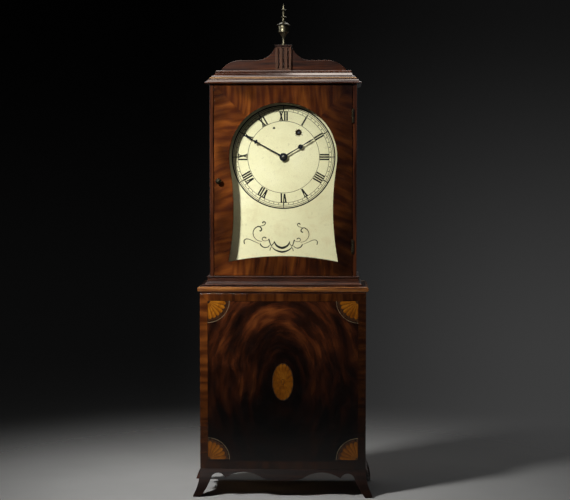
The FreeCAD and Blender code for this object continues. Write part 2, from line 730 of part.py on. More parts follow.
# ---- the door's turn knob ----------------------------------------------------------------------------------
def build_knob():
    """A small turned knob whose shank passes through the door to the latch tongue."""
    shank = door_rear - hood_front + 0.3
    dome = Dim(-5.6)
    profile = [(shank, 0), (shank, 2.5), (-0.2, 2.5), (-0.2, 4.6), (-1.6, 4.6), (-2.6, 2.6), (-4.6, 2.8),
               (-8.5, 5.2, dome), (-12.4, 1, dome), (-12.4, 0)]
    body = turned("knob_body", profile, "YZ_Plane", "H_Axis")
    place(body, knob_x, hood_front, knob_level)
    return body


keep(build_knob(), "door_knob")
keep(block("tongue_bar", (knob_x - 2.5, knob_x + 2.5), (door_rear + 0.3, tongue_rear - 0.2),
           (knob_level - 3, knob_level + tongue_reach)), "latch_tongue")


# ---- the movement ------------------------------------------------------------------------------------------
def depth_at(offset):
    """A depth measured back from the front face of the front plate."""
    return plate_front + offset


def level_at(offset):
    """A height measured up from the dial centre."""
    return dial_level + offset


wind_level = level_at(wind_z)
second_level = level_at(second_rise)
third_level = level_at(third_z)
escape_level = level_at(escape_z)
pallet_level = level_at(pallet_z)
minute_level = dial_level - minute_centre
plates_rear = plate_thick * 2 + plates_apart
cock_front = plates_rear + 7
running = Dim(0.05)                               # radial clearance of a pivot in its hole

keep(cut("seat_cut", block("seat_plank", (side_board - hood_half, hood_half - side_board),
                           (plate_front - 6, plate_front + plates_rear + 6),
                           (seat_top - seat_thick, seat_top)),
         rod("line_hole", "z", 3, line_x, line_y, (seat_top - seat_thick - 1, seat_top + 1)),
         rod("knot_hole", "z", line_bore, line_x + pulley_radius * 2, line_y,
             (seat_top - seat_thick - 1, seat_top + 1))), "seat_board")

dial_feet_places = [(-36, -14), (52, -14), (-36, 80), (52, 80)]
dial_half = Dim(118)
dial_low, dial_high = Dim(404), Dim(736)
dial_sheet = block("dial_sheet", (-dial_half, dial_half), (dial_front, dial_front + dial_thick),
                   (dial_low, dial_high))
dial_feet = [rod("dial_foot_%d" % index, "y", 2, x, (dial_front + dial_thick / 2, plate_front), level_at(z))
             for index, (x, z) in enumerate(dial_feet_places)]
keep(cut("dial_cut", join("dial_join", dial_sheet, *dial_feet),
         rod("hand_hole", "y", 5, 0, (dial_front - 1, dial_front + 3), dial_level),
         rod("winding_hole", "y", 5.5, wind_x, (dial_front - 1, dial_front + 3), wind_level)), "dial_plate")

pillar_places = [(-36, -28), (56, -28), (-36, 90), (56, 90)]
pillar_pin = Dim(1.6)
plate_left, plate_right = Dim(-43), Dim(63)
plate_low, plate_high = level_at(-37), level_at(98)
arbors = {"winding": (wind_x, wind_level, 2.5), "second": (0, second_level, 1.2),
          "third": (third_x, third_level, 1), "escape": (escape_x, escape_level, 0.8)}


def build_plate(name, front, extra):
    """One brass plate: the pivot holes that both plates share, and its own extra (x, z, radius) holes."""
    sheet_metal = block(name + "_blank", (plate_left, plate_right), (front, front + plate_thick),
                        (plate_low, plate_high))
    span = (front - 1, front + plate_thick + 1)
    holes = [rod("%s_%s_pivot" % (name, key), "y", dim(radius) + running, x, span, z)
             for key, (x, z, radius) in arbors.items()]
    holes += [rod("%s_pillar_%d" % (name, index), "y", pillar_pin, x, span, level_at(z))
              for index, (x, z) in enumerate(pillar_places)]
    holes += [rod("%s_hole_%d" % (name, index), "y", radius, x, span, z)
              for index, (x, z, radius) in enumerate(extra)]
    return cut(name + "_cut", sheet_metal, *holes)


keep(build_plate("front_plate", plate_front, [(0, pallet_level, 1 + running)]), "front_plate")
keep(build_plate("back_plate", back_plate_front, [(0, pallet_level, 3)]), "back_plate")


def build_pillar(index, x, z):
    """A pillar with a thicker waist between the plates and a pin through each plate."""
    name = "pillar_%d" % index
    inside = (depth_at(plate_thick), back_plate_front)
    middle = (depth_at(plate_thick + 10), back_plate_front - 10)
    return join(name, rod(name + "_post", "y", 3, x, inside, level_at(z)),
                rod(name + "_waist", "y", 4, x, middle, level_at(z)),
                rod(name + "_pins", "y", pillar_pin, x, (plate_front, depth_at(plates_rear)), level_at(z)))


keep(group("pillar_set", *[build_pillar(index, x, z) for index, (x, z) in enumerate(pillar_places)]),
     "plate_pillars")

stud_radius = Dim(1)
hour_seat, minute_seat = -19, -21                 # front ends of the hands' pipes, from the front plate
hand_stud = join("hand_stud",
                 rod("hand_stud_pin", "y", stud_radius, 0, (depth_at(minute_seat + 0.2), plate_front),
                     dial_level),
                 rod("hand_stud_foot", "y", 2.5, 0, (depth_at(-1), plate_front), dial_level))
minute_stud = join("minute_stud",
                   rod("minute_stud_pin", "y", stud_radius, 0, (depth_at(-11), plate_front), minute_level),
                   rod("minute_stud_foot", "y", 3, 0, (depth_at(-4.6), plate_front), minute_level))
keep(group("stud_pair", hand_stud, minute_stud), "motion_studs")


# Wheels and pinions. Clock teeth are thinner than their gaps, so a meshed pair runs with play.
def tooth_ring(teeth, module, tip, base, tooth_share, phase):
    """The outline (x, z) of a toothed ring: straight flanks, blunt tips, one tooth at phase."""
    pitch = 2 * math.pi / teeth
    radius = teeth * module / 2
    points = []
    for index in range(teeth):
        middle = phase + index * pitch
        for share, reach in ((-0.58, base), (-0.5, 0), (-0.24, tip), (0.24, tip), (0.5, 0), (0.58, base)):
            angle = middle + share * tooth_share * pitch
            points.append(polar(radius + reach * module, angle))
    return points


def polar(radius, angle):
    return Vector(radius * math.cos(angle), 0, radius * math.sin(angle))


def wheel_face(points, holes):
    wires = [Part.makePolygon(points + points[:1])] + holes
    return Part.Face(wires, "Part::FaceMakerBullseye")


def ring(radius):
    """A round wire about the Y axis."""
    return Part.Wire(Part.makeCircle(radius, Vector(), Vector(0, 1, 0)))


def crossing(inner, outer, start, end):
    """One window between two spokes: a sector between an inner and an outer radius."""
    middle = (start + end) / 2
    far = Part.Arc(polar(outer, start), polar(outer, middle), polar(outer, end)).toShape()
    near = Part.Arc(polar(inner, end), polar(inner, middle), polar(inner, start)).toShape()
    return Part.Wire([far, Part.makeLine(polar(outer, end), polar(inner, end)), near,
                      Part.makeLine(polar(inner, start), polar(outer, start))])


def windows(count, inner, outer, spoke, phase=0.0):
    """The windows of a wheel with count spokes, each spoke a little under `spoke` wide."""
    gap = spoke / (inner + outer)
    turn = 2 * math.pi / count
    return [crossing(inner, outer, phase + turn * index + gap, phase + turn * (index + 1) - gap)
            for index in range(count)]


def gear(teeth, module, thick, bore, phase=0.0, tip=0.95, base=-1.25, share=0.42, spokes=0, hub=4.0, rim=2.4):
    """A wheel centred on the Y axis with its front face at the origin."""
    holes = [ring(bore)] if bore else []
    if spokes:
        root_radius = teeth * module / 2 + base * module
        holes += windows(spokes, hub, root_radius - rim, 2.6, phase)
    return wheel_face(tooth_ring(teeth, module, tip, base, share, phase), holes).extrude(Vector(0, thick, 0))


def pinion(teeth, module, thick, phase=0.0, bore=0):
    """A solid-leaved pinion: fewer, rounder and thinner teeth than a wheel's."""
    return gear(teeth, module, thick, bore, phase, tip=0.7, base=-1.3, share=0.34)


def spindle(steps, radius_cut=0):
    """A turned spindle about Y from (start, end, radius) steps."""
    pieces = [Part.makeCylinder(radius, end - start, Vector(0, start, 0), Vector(0, 1, 0))
              for start, end, radius in steps]
    solid = pieces[0]
    for piece in pieces[1:]:
        solid = solid.fuse(piece)
    if radius_cut:
        low = min(step[0] for step in steps) - 1
        high = max(step[1] for step in steps) + 1
        solid = solid.cut(Part.makeCylinder(radius_cut, high - low, Vector(0, low, 0), Vector(0, 1, 0)))
    return solid.removeSplitter()


def at_depth(shape, offset):
    shape.translate(Vector(0, offset, 0))
    return shape


def arbor_part(label, shape, x, z):
    """A sub-part that turns about an arbor: its shape is drawn about the Y axis, then placed."""
    obj = from_shape(label + "_shape", shape)
    place(obj, x, plate_front + shape.Placement.Base.y, z)
    return keep(obj, label)


def bearing(x_from, z_from, x_to, z_to):
    """The direction from one arbor to another, as an angle in the X-Z plane."""
    return math.atan2(dim(z_to).value - dim(z_from).value, dim(x_to).value - dim(x_from).value)


def gap_towards(teeth, angle):
    """The phase that puts a gap between two teeth in the given direction."""
    return angle + math.pi / teeth


great_teeth, second_teeth, third_teeth, leaves = 96, 80, 72, 8
escape_teeth = 30
cannon_teeth, cannon_leaves, minute_teeth, minute_leaves, hour_teeth = 36, 12, 36, 10, 40
great_m = great_module.value
train_m = train_module.value
cannon_m = second_rise.value / cannon_teeth
minute_m = 2 * minute_centre.value / (cannon_leaves + minute_teeth)
hour_m = 2 * minute_centre.value / (minute_leaves + hour_teeth)
end_y = plates_rear.value + 0.6

to_second = bearing(wind_x, wind_level, 0, second_level)
to_third = bearing(0, second_level, third_x, third_level)
to_escape = bearing(third_x, third_level, escape_x, escape_level)
up = math.pi / 2

# great wheel, click, barrel and winding arbor
click_angle = math.radians(215)
click_pivot = polar(14.5, click_angle)
great_blank = gear(great_teeth, great_m, 2, 2.55, gap_towards(great_teeth, to_second), spokes=0)
stud = Part.makeCylinder(1, 4, Vector(click_pivot.x, 0, click_pivot.z), Vector(0, 1, 0))
great_shape = at_depth(great_blank.fuse(stud).removeSplitter(), 4)
arbor_part("great_wheel", great_shape, wind_x, wind_level)


def saw_ring(teeth, outer, inner, lean):
    """The outline of a ratchet or escape wheel: one steep and one long flank to each tooth."""
    pitch = 2 * math.pi / teeth
    points = []
    for index in range(teeth):
        points.append(polar(inner, index * pitch))
        points.append(polar(outer, index * pitch + lean * pitch))
        points.append(polar(outer, index * pitch + (lean + 0.06) * pitch))
    return points


ratchet = at_depth(wheel_face(saw_ring(24, 10.5, 9.0, 0.05), [ring(2.5)]).extrude(Vector(0, 1.6, 0)), 6.4)
drum = spindle([(8, 27, drum_radius.value), (26.5, 28, 10)], 2.5)
arbor_part("barrel", drum.fuse(ratchet).removeSplitter(), wind_x, wind_level)

square_side = 3.5
square_tip = dial_front - plate_front - 0.6         # just proud of the dial and clear of the hour hand
square_end = -6.8
square = Part.makeBox(square_side, square_end - square_tip, square_side,
                      Vector(-square_side / 2, square_tip, -square_side / 2))
winding = spindle([(-8, end_y, 2.5)]).fuse(square).removeSplitter()
arbor_part("winding_arbor", winding, wind_x, wind_level)


def build_click():
    """The pawl that holds the ratchet: a short finger from its pivot to just outside the ratchet's teeth."""
    tip = polar(11.3, click_angle + math.radians(38))
    along = tip - click_pivot
    across = Vector(-along.z, 0, along.x).normalize()
    tail = click_pivot - along * 0.25
    corners = [click_pivot + across * 2.2, tail, click_pivot - across * 2.2, tip - across * 0.2,
               tip + across * 0.6]
    finger = Part.Face(Part.makePolygon(corners + corners[:1])).extrude(Vector(0, 1.4, 0))
    boss = Part.makeCylinder(2.2, 1.4, click_pivot, Vector(0, 1, 0))
    bore = Part.makeCylinder(1 + running.value, 4, click_pivot - Vector(0, 1, 0), Vector(0, 1, 0))
    return at_depth(finger.fuse(boss).cut(bore).removeSplitter(), 6.5)


arbor_part("click", build_click(), wind_x, wind_level)

# second arbor: it turns once an hour, and drives the hands through two equal wheels in front of the plate
arbor_part("second_arbor", spindle([(-3.4, end_y, 1.2)]).fuse(
    at_depth(pinion(leaves, great_m, 3.6, to_second + math.pi), 3.4)).removeSplitter(), 0, second_level)
arbor_part("second_wheel", at_depth(gear(second_teeth, train_m, 1.5, 1.2, gap_towards(second_teeth, to_third),
                                         spokes=4), 15), 0, second_level)
arbor_part("drive_wheel", at_depth(gear(cannon_teeth, cannon_m, 1.4, 1.2, gap_towards(cannon_teeth, -up),
                                        share=0.4, tip=0.8), -3), 0, second_level)

# third arbor
arbor_part("third_arbor", spindle([(-0.4, end_y, 1)]).fuse(
    at_depth(pinion(leaves, train_m, 4.5, to_third + math.pi), 13.5)).removeSplitter(), third_x, third_level)
arbor_part("third_wheel", at_depth(gear(third_teeth, train_m, 1.5, 1, gap_towards(third_teeth, to_escape),
                                        spokes=4), 23), third_x, third_level)

# escape arbor and escape wheel
arbor_part("escape_arbor", spindle([(-0.4, end_y, 0.8)]).fuse(
    at_depth(pinion(leaves, train_m, 4.5, to_escape + math.pi), 21.8)).removeSplitter(),
    escape_x, escape_level)
escape_outer = escape_radius.value
escape_face = wheel_face(saw_ring(escape_teeth, escape_outer, escape_outer - 2.6, -0.25),
                         [ring(0.8)] + windows(5, 3.2, escape_outer - 4.6, 2.0))
arbor_part("escape_wheel", at_depth(escape_face.extrude(Vector(0, 1.2, 0)), 18.6), escape_x, escape_level)


def build_pallets():
    """The anchor: two arms that reach down round the top of the escape wheel to hooked pallets."""
    right = [(3.6, -3.2), (12, -1.5), (16.2, 6), (14.4, 12.8), (12.7, 10.8), (12.6, 7), (9, 3.2), (2.6, 4.2)]
    run = right + [(-across, down) for across, down in reversed(right)]
    tilt = math.atan2(escape_x.value, (pallet_level - escape_level).value)
    points = []
    for across, down in run:
        points.append(Vector(across * math.cos(tilt) + down * math.sin(tilt), 0,
                             across * math.sin(tilt) - down * math.cos(tilt)))
    return wheel_face(points, [ring(1)]).extrude(Vector(0, 1.6, 0))


arbor_part("anchor_pallets", at_depth(build_pallets(), 18.4), 0, pallet_level)
crutch_length = 62
crutch = Part.makeBox(4, 1.4, crutch_length, Vector(-2, plates_rear.value + 2.4, -crutch_length))
foot = Part.makeBox(10, 15, 3, Vector(-5, plates_rear.value + 2.4, -crutch_length - 2))
slot = Part.makeBox(3.5, 10, 5, Vector(-1.75, plates_rear.value + 8.4, -crutch_length - 3))
pallet_steps = [(-0.4, cock_front.value + 2.3, 1), (plates_rear.value + 2, plates_rear.value + 4.2, 2.6)]
pallet_spindle = spindle(pallet_steps).fuse(crutch).fuse(foot.cut(slot)).removeSplitter()
arbor_part("pallet_arbor", pallet_spindle, 0, pallet_level)

# back cock: it carries the rear pivot of the pallet arbor and the pendulum's suspension
cock_low, cock_high = pallet_level - 8, pallet_level + 14
cock_parts = [block("cock_bridge", (-14, 14), (depth_at(cock_front), depth_at(cock_front + 2.5)),
                    (cock_low, cock_high)),
              block("cock_left_leg", (-14, -10), (depth_at(plates_rear), depth_at(cock_front + 1)),
                    (cock_low, cock_high)),
              block("cock_right_leg", (10, 14), (depth_at(plates_rear), depth_at(cock_front + 1)),
                    (cock_low, cock_high)),
              block("cock_post", (-4, 4), (depth_at(cock_front + 2), depth_at(cock_front + 9.5)),
                    (pallet_level + 0.1, pallet_level + 10))]
keep(cut("back_cock_cut", join("cock_join", *cock_parts),
         rod("cock_pivot", "y", 1 + running, 0, (depth_at(cock_front - 1), depth_at(cock_front + 3)),
             pallet_level)),
     "back_cock")

# pendulum
spring_length = Dim(16)
bob_level = pallet_level - pendulum_length
rod_radius = Dim(1.6)
rod_end = bob_level - bob_radius - 16
keep(block("spring_strip", (-0.15, 0.15), (pendulum_y - 2.3, pendulum_y + 2.3), (pallet_level - spring_length,
                                                                               pallet_level - 0.05)),
     "suspension_spring")
keep(rod("rod_wire", "z", rod_radius, 0, pendulum_y, (rod_end, pallet_level - spring_length)), "pendulum_rod")

bob_half = Dim(7)
bob_dome = bow(bob_radius * 2, bob_half - 0.6)
bob = turned("bob_body", [(-bob_half, 0), (-0.6, bob_radius, bob_dome), (0.6, bob_radius),
                          (bob_half, 0, bob_dome)], "YZ_Plane", "H_Axis")
place(bob, 0, pendulum_y, bob_level)
keep(cut("bob_cut", bob, rod("bob_bore", "z", rod_radius, 0, pendulum_y,
                             (bob_level - bob_radius - 1, bob_level + bob_radius + 1))), "pendulum_bob")
nut = rod("nut_disc", "z", 6, 0, pendulum_y, (bob_level - bob_radius - 6, bob_level - bob_radius - 1.5))
keep(cut("nut_cut", nut, rod("nut_bore", "z", rod_radius, 0, pendulum_y,
                             (bob_level - bob_radius - 8, bob_level - bob_radius))), "rating_nut")

# weight, pulley and line
pulley_profile = [(-2.5, 1.55), (2.5, 1.55), (2.5, 14), (1.6, 14), (0.8, pulley_radius - 0.6),
                  (-0.8, pulley_radius - 0.6), (-1.6, 14), (-2.5, 14)]
pulley = turned("pulley_body", pulley_profile, "YZ_Plane", "H_Axis")
place(pulley, pulley_x, line_y, pulley_level)
keep(pulley, "pulley")

cheeks = [block("cheek_%d" % index, (pulley_x - 5, pulley_x + 5), (line_y + low, line_y + low + 1.4),
                (pulley_level - 20, pulley_level + 5)) for index, low in enumerate((-4.4, 3.0))]
keep(join("stirrup", *cheeks,
          block("stirrup_bridge", (pulley_x - 5, pulley_x + 5), (line_y - 4.4, line_y + 4.4),
                (pulley_level - 20, pulley_level - 17)),
          rod("stirrup_axle", "y", 1.5, pulley_x, (line_y - 4.4, line_y + 4.4), pulley_level),
          rod("stirrup_stem", "z", 2, pulley_x, line_y, (pulley_level - 28, pulley_level - 19))),
     "pulley_stirrup")
weight_top = pulley_level - 28
keep(block("weight_casting", (pulley_x - 25, pulley_x + 25), (line_y - 15, line_y + 15),
           (weight_top - weight_height, weight_top)), "weight")


def build_line():
    """The gut line: down from the drum, round the pulley, and up to a knot above the seat board."""
    fine = line_radius.value
    reach = pulley_radius.value
    left = Part.makeCylinder(fine, (wind_level - pulley_level).value, Vector(-reach, 0, 0))
    knot_base = (seat_top - pulley_level).value
    right = Part.makeCylinder(fine, knot_base + 1, Vector(reach, 0, 0))
    knot = Part.makeCylinder(2, 3, Vector(reach, 0, knot_base))
    bend = Part.makeTorus(reach, fine, Vector(), Vector(0, 1, 0))
    lower = Part.makeBox(4 * reach, 4 * reach, 2 * reach, Vector(-2 * reach, -2 * reach, -2 * reach))
    return left.fuse(right).fuse(knot).fuse(bend.common(lower)).removeSplitter()


line = from_shape("line_shape", build_line())
place(line, pulley_x, line_y, pulley_level)
keep(line, "weight_line")


# ---- hands and the wheels behind the dial -----------------------------------------------------------------
hand_bore = 2.0
stud_bore = (stud_radius + running).value
pipe_bore = hand_bore + running.value
cannon = gear(cannon_teeth, cannon_m, 1.4, stud_bore, up, share=0.4, tip=0.8)
cannon = at_depth(cannon, -3).fuse(spindle([(minute_seat, -2.5, hand_bore)], stud_bore))
leaf_ring = pinion(cannon_leaves, minute_m, 2.6, -up, stud_bore)
cannon = cannon.fuse(at_depth(leaf_ring, -7.2)).removeSplitter()
arbor_part("cannon_wheel", cannon, 0, dial_level)

minute_pair = at_depth(gear(minute_teeth, minute_m, 1.8, stud_bore, gap_towards(minute_teeth, up), tip=0.8,
                            share=0.4), -6.8)
minute_pinion = at_depth(pinion(minute_leaves, hour_m, 3.4, up, stud_bore), -10.1)
minute_pair = minute_pair.fuse(minute_pinion).removeSplitter()
arbor_part("minute_wheel", minute_pair, 0, minute_level)

hour_pipe = spindle([(hour_seat, -8.5, 3.2)], pipe_bore)
hour_gear = at_depth(gear(hour_teeth, hour_m, 1.4, pipe_bore, gap_towards(hour_teeth, -up), tip=0.8,
                          share=0.4), -9.9)
arbor_part("hour_wheel", hour_pipe.fuse(hour_gear).removeSplitter(), 0, dial_level)


def hand_shape(length, boss, bore, ornament_at, ornament, widths):
    """A hand that points straight up: a boss, a tapering blade with an ornament on it, and a fine point."""
    wide, narrow = widths
    root_z, taper_z = boss * 0.6, length * 0.8
    blade = Part.makePolygon([Vector(-wide, 0, root_z), Vector(-narrow, 0, taper_z), Vector(0, 0, length),
                              Vector(narrow, 0, taper_z), Vector(wide, 0, root_z), Vector(-wide, 0, root_z)])
    thick = Vector(0, 1, 0)
    solid = Part.Face(blade).extrude(thick)
    solid = solid.fuse(Part.makeCylinder(boss, 1, Vector(), thick))
    centre = Vector(0, 0, ornament_at)
    if ornament == "ring":
        eye = Part.makeCylinder(3.4, 1, centre, thick).cut(Part.makeCylinder(1.7, 1, centre, thick))
        solid = solid.fuse(eye)
    else:
        diamond = [Vector(x, 0, ornament_at + z) for x, z in ((0, 5), (2.8, 0), (0, -5), (-2.8, 0), (0, 5))]
        solid = solid.fuse(Part.Face(Part.makePolygon(diamond)).extrude(thick))
    return solid.cut(Part.makeCylinder(bore, 3, Vector(0, -1, 0), thick)).removeSplitter()


def place_hand(label, shape, clock_angle, offset):
    """Turn a hand from twelve o'clock to its place, and put it on its arbor."""
    shape.rotate(Vector(), Vector(0, 1, 0), clock_angle)
    arbor_part(label, at_depth(shape, offset), 0, dial_level)


place_hand("hour_hand", hand_shape(67, 7.5, 3.2, 36, "ring", (1.5, 0.9)), 59, hour_seat)
place_hand("minute_hand", hand_shape(84, 6, hand_bore, 58, "diamond", (1.4, 0.8)), 299, minute_seat)
collet = spindle([(minute_seat - 1, minute_seat, 3.6), (minute_seat - 2, minute_seat - 0.9, 2.4)])
arbor_part("hand_collet", collet, 0, dial_level)


# ---- check and write ---------------------------------------------------------------------------------------
doc.recompute()
for obj in doc.Objects:
    if "Invalid" in obj.State or "Error" in obj.State:
        raise RuntimeError("%s is in state %s" % (obj.Name, obj.State))
if len(nodes) > 60:
    raise RuntimeError("%d sub-parts are more than 60" % len(nodes))
os.makedirs("parts", exist_ok=True)
for obj in nodes:
    shape = obj.Shape
    if shape.isNull() or not shape.isValid() or shape.Volume <= 0:
        raise RuntimeError("%s has no valid shape" % obj.Label)
    shape.exportStep("parts/%s.step" % obj.Label)
print("%d sub-parts written" % len(nodes))
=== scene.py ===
import bmesh
import bpy
import json
from functools import partialmethod
from math import cos, pi, radians, sin
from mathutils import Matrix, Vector


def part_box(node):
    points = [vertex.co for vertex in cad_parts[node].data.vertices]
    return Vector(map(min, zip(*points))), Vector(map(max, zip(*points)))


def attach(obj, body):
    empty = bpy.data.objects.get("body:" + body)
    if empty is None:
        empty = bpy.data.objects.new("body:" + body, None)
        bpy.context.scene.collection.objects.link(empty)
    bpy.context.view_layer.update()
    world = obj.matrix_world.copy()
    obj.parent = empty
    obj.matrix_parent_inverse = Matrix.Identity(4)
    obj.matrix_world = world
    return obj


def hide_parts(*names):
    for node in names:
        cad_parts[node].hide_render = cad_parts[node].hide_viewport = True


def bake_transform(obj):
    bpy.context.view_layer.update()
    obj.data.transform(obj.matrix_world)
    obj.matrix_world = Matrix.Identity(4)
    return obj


# The looks of a Federal mahogany shelf clock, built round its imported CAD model. Metres; the front faces -Y.

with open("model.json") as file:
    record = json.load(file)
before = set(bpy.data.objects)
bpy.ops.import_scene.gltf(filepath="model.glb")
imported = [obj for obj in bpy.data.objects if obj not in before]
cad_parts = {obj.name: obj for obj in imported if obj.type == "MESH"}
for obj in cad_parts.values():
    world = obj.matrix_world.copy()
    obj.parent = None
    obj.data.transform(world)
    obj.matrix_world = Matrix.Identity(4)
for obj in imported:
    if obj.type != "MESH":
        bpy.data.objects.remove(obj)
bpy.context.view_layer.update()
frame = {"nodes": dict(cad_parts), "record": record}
MM = 0.001
RECORD = frame["record"]
BODY_OF = {node: body for body, group in RECORD["behaviour"]["bodies"].items() for node in group}
JOINTS = {joint["name"]: joint for joint in RECORD["behaviour"]["joints"]}
SLOT_OF = {part["node"]: part["material_slot"] for part in RECORD["subparts"]}


# ---- places read from the frame ----
def corners(node):
    """The low and high corners of a node's box."""
    return tuple(Vector(corner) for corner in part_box(node))


DIAL_CENTRE = Vector(JOINTS["hour_turn"]["pos_m"])
WINDING = Vector(JOINTS["barrel_turn"]["pos_m"])
PANEL_LOW, PANEL_HIGH = corners("base_front_panel")
DOOR_LOW, DOOR_HIGH = corners("door_frame")
INLAY_LOW, INLAY_HIGH = corners("panel_inlays")
PLINTH_LOW, PLINTH_HIGH = corners("crest_plinth")
DIAL_FRONT = corners("dial_plate")[0].y
CROSSBAND = PANEL_HIGH.x - INLAY_HIGH.x
OVAL = Vector((0.0, 0.0, 208.0 * MM))
OVAL_TALL = 65.6 * MM
OVAL_WIDE = 36.2 * MM


# ---- shader building ----
class Shader:
    """A new material's (or world's) node tree, with short calls for the nodes that they share."""

    def __init__(self, name, kind=bpy.data.materials):
        self.owner = kind.new(name)
        self.owner.use_nodes = True
        self.tree = self.owner.node_tree
        self.tree.nodes.clear()
        self.place = self.node("TexCoord").outputs["Object"]

    def node(self, kind, inputs=None, **settings):
        made = self.tree.nodes.new("ShaderNode" + kind)
        for name, value in settings.items():
            setattr(made, name, value)
        for name, value in (inputs or {}).items():
            self.feed(made.inputs[name], value)
        return made

    def feed(self, socket, value):
        """Link a socket into another, or set its value; a colour of three numbers gets its alpha."""
        if isinstance(value, bpy.types.NodeSocket):
            self.tree.links.new(value, socket)
            return
        colour = hasattr(socket.default_value, "__len__") and len(socket.default_value) == 4
        socket.default_value = tuple(value) + (1.0,) if colour and len(value) == 3 else value

    def work_out(self, operation, first, second=0.0):
        return self.node("Math", {0: first, 1: second}, operation=operation).outputs[0]

    plus = partialmethod(work_out, "ADD")
    minus = partialmethod(work_out, "SUBTRACT")
    times = partialmethod(work_out, "MULTIPLY")
    over = partialmethod(work_out, "DIVIDE")
    least = partialmethod(work_out, "MINIMUM")
    most = partialmethod(work_out, "MAXIMUM")
    above = partialmethod(work_out, "GREATER_THAN")
    below = partialmethod(work_out, "LESS_THAN")
    positive = partialmethod(work_out, "ABSOLUTE")

    def length(self, across, up):
        """How far a place is from the centre, given as two distances at right angles."""
        return self.work_out("SQRT", self.plus(self.times(across, across), self.times(up, up)))

    def split(self, vector):
        return self.node("SeparateXYZ", {"Vector": vector}).outputs[:3]

    def join(self, x=0.0, y=0.0, z=0.0):
        return self.node("CombineXYZ", {"X": x, "Y": y, "Z": z}).outputs[0]

    def stretched(self, x, y, z):
        """Object places multiplied along each axis."""
        return self.node("Mapping", {"Vector": self.place, "Scale": (x, y, z)}).outputs[0]

    def noise(self, vector, scale, detail=4.0, rough=0.55, warp=0.0):
        inputs = {"Vector": vector, "Scale": scale, "Detail": detail, "Roughness": rough, "Distortion": warp}
        return self.node("TexNoise", inputs).outputs["Fac"]

    def ramp(self, factor, *stops):
        made = self.node("ValToRGB", {"Fac": factor})
        steps = made.color_ramp.elements
        while len(steps) < len(stops):
            steps.new(0.5)
        for step, (position, colour) in zip(steps, stops):
            step.position = position
            step.color = tuple(colour) + (1.0,)
        return made.outputs["Color"]

    def fade(self, factor, low, high, start=0.0, end=1.0, smooth=False):
        """A value that goes from start to end while the factor goes from low to high."""
        inputs = {"Value": factor, "From Min": low, "From Max": high, "To Min": start, "To Max": end}
        kind = "SMOOTHSTEP" if smooth else "LINEAR"
        return self.node("MapRange", inputs, interpolation_type=kind).outputs[0]

    def pick(self, share, first, second):
        """A value that is the first where the share is 0 and the second where it is 1."""
        return self.node("Mix", {0: share, 2: first, 3: second}).outputs[0]

    def mix(self, share, first, second, blend="MIX"):
        inputs = {0: share, 6: first, 7: second}
        return self.node("Mix", inputs, data_type="RGBA", blend_type=blend).outputs[2]

    def dimmed(self, colour, shade):
        return self.mix(1.0, colour, self.join(shade, shade, shade), "MULTIPLY")

    def bump(self, height, distance, strength=1.0, normal=None):
        inputs = {"Height": height, "Distance": distance, "Strength": strength}
        if normal is not None:
            inputs["Normal"] = normal
        return self.node("Bump", inputs).outputs[0]

    def finish(self, shading, end="OutputMaterial"):
        self.tree.links.new(shading.outputs[0], self.node(end).inputs[0])
        return self.owner

    def surface(self, **inputs):
        """Finish with a Principled surface; names are those of its inputs, with _ for a space."""
        named = {name.replace("_", " "): value for name, value in inputs.items()}
        return self.finish(self.node("BsdfPrincipled", named))


# ---- wood ----
DARK = (0.008, 0.0022, 0.001)
DEEP = (0.028, 0.0065, 0.0022)
RED = (0.085, 0.022, 0.0042)
AMBER = (0.17, 0.05, 0.0075)
MAHOGANY = [(0.32, DARK), (0.44, (0.018, 0.0048, 0.002)), (0.58, (0.045, 0.012, 0.004)),
            (0.74, (0.095, 0.027, 0.0075))]
DOOR_WOOD = [(0.24, DEEP), (0.4, (0.045, 0.0105, 0.0028)), (0.54, RED), (0.68, (0.145, 0.041, 0.0065)),
             (0.8, AMBER)]
CROTCH = [(0.3, (0.003, 0.001, 0.0006)), (0.45, (0.01, 0.0028, 0.0012)), (0.58, (0.034, 0.0082, 0.0025)),
          (0.72, (0.095, 0.026, 0.006))]
BAND_WOOD = [(0.28, DEEP), (0.44, (0.055, 0.014, 0.003)), (0.58, (0.115, 0.032, 0.0055)), (0.74, AMBER)]
# The bead's colours: partly a lighter wood, partly a painted highlight along it.
BEAD_WOOD_AND_HIGHLIGHT = [(0.32, (0.06, 0.018, 0.004)), (0.46, (0.15, 0.05, 0.01)), (0.62, (0.26, 0.1, 0.02))]
# Near-black painted shade for the apron.
APRON_PAINTED_SHADE = [(0.32, (0.002, 0.0008, 0.0005)), (0.5, (0.007, 0.002, 0.0009)), (0.72, (0.024, 0.0066, 0.0024))]
PINE = [(0.3, (0.16, 0.085, 0.035)), (0.5, (0.3, 0.17, 0.075)), (0.7, (0.4, 0.25, 0.12))]
PINE_GRIME = (0.09, 0.055, 0.03)
SATINWOOD = [(0.36, (0.15, 0.042, 0.0025)), (0.5, (0.3, 0.092, 0.004)), (0.66, (0.46, 0.17, 0.012))]
SCORCH = (0.1, 0.026, 0.003)
# Painted shade for the inlays towards the panel's foot.
LOW_INLAY_PAINTED_SHADE = (0.06, 0.018, 0.003)
SCORCHED = ((0.012, 0.006, 0.003), (0.045, 0.018, 0.007))
BOXWOOD = ((0.068, 0.05, 0.03), (0.17, 0.125, 0.075))
DARKENED = ((0.02, 0.0104, 0.004), (0.05, 0.026, 0.01))
# A pale tone, a painted highlight on the plinth's fillets.
FILLET_PAINTED_HIGHLIGHT = (0.05, 0.03, 0.021)
# Near-black painted shade for the plinth's cap.
CAP_PAINTED_SHADE = (0.006, 0.002, 0.0015)
CAP_PROUD = 1.6 * MM
CAP_HIGH = 3.6 * MM
PORE_WIDE = 0.6 * MM
PORE_LONG = 12.0 * MM
PORE_DEPTH = 0.03 * MM
POLISH_WAVE = 0.08 * MM
STILE_STREAK = 13.5 * MM
RAIL_STREAK = 12.5 * MM
BAND_STREAK = 12.0 * MM
STILE_WIDE = 33.0 * MM
FOOT_RAIL_TALL = 57.5 * MM


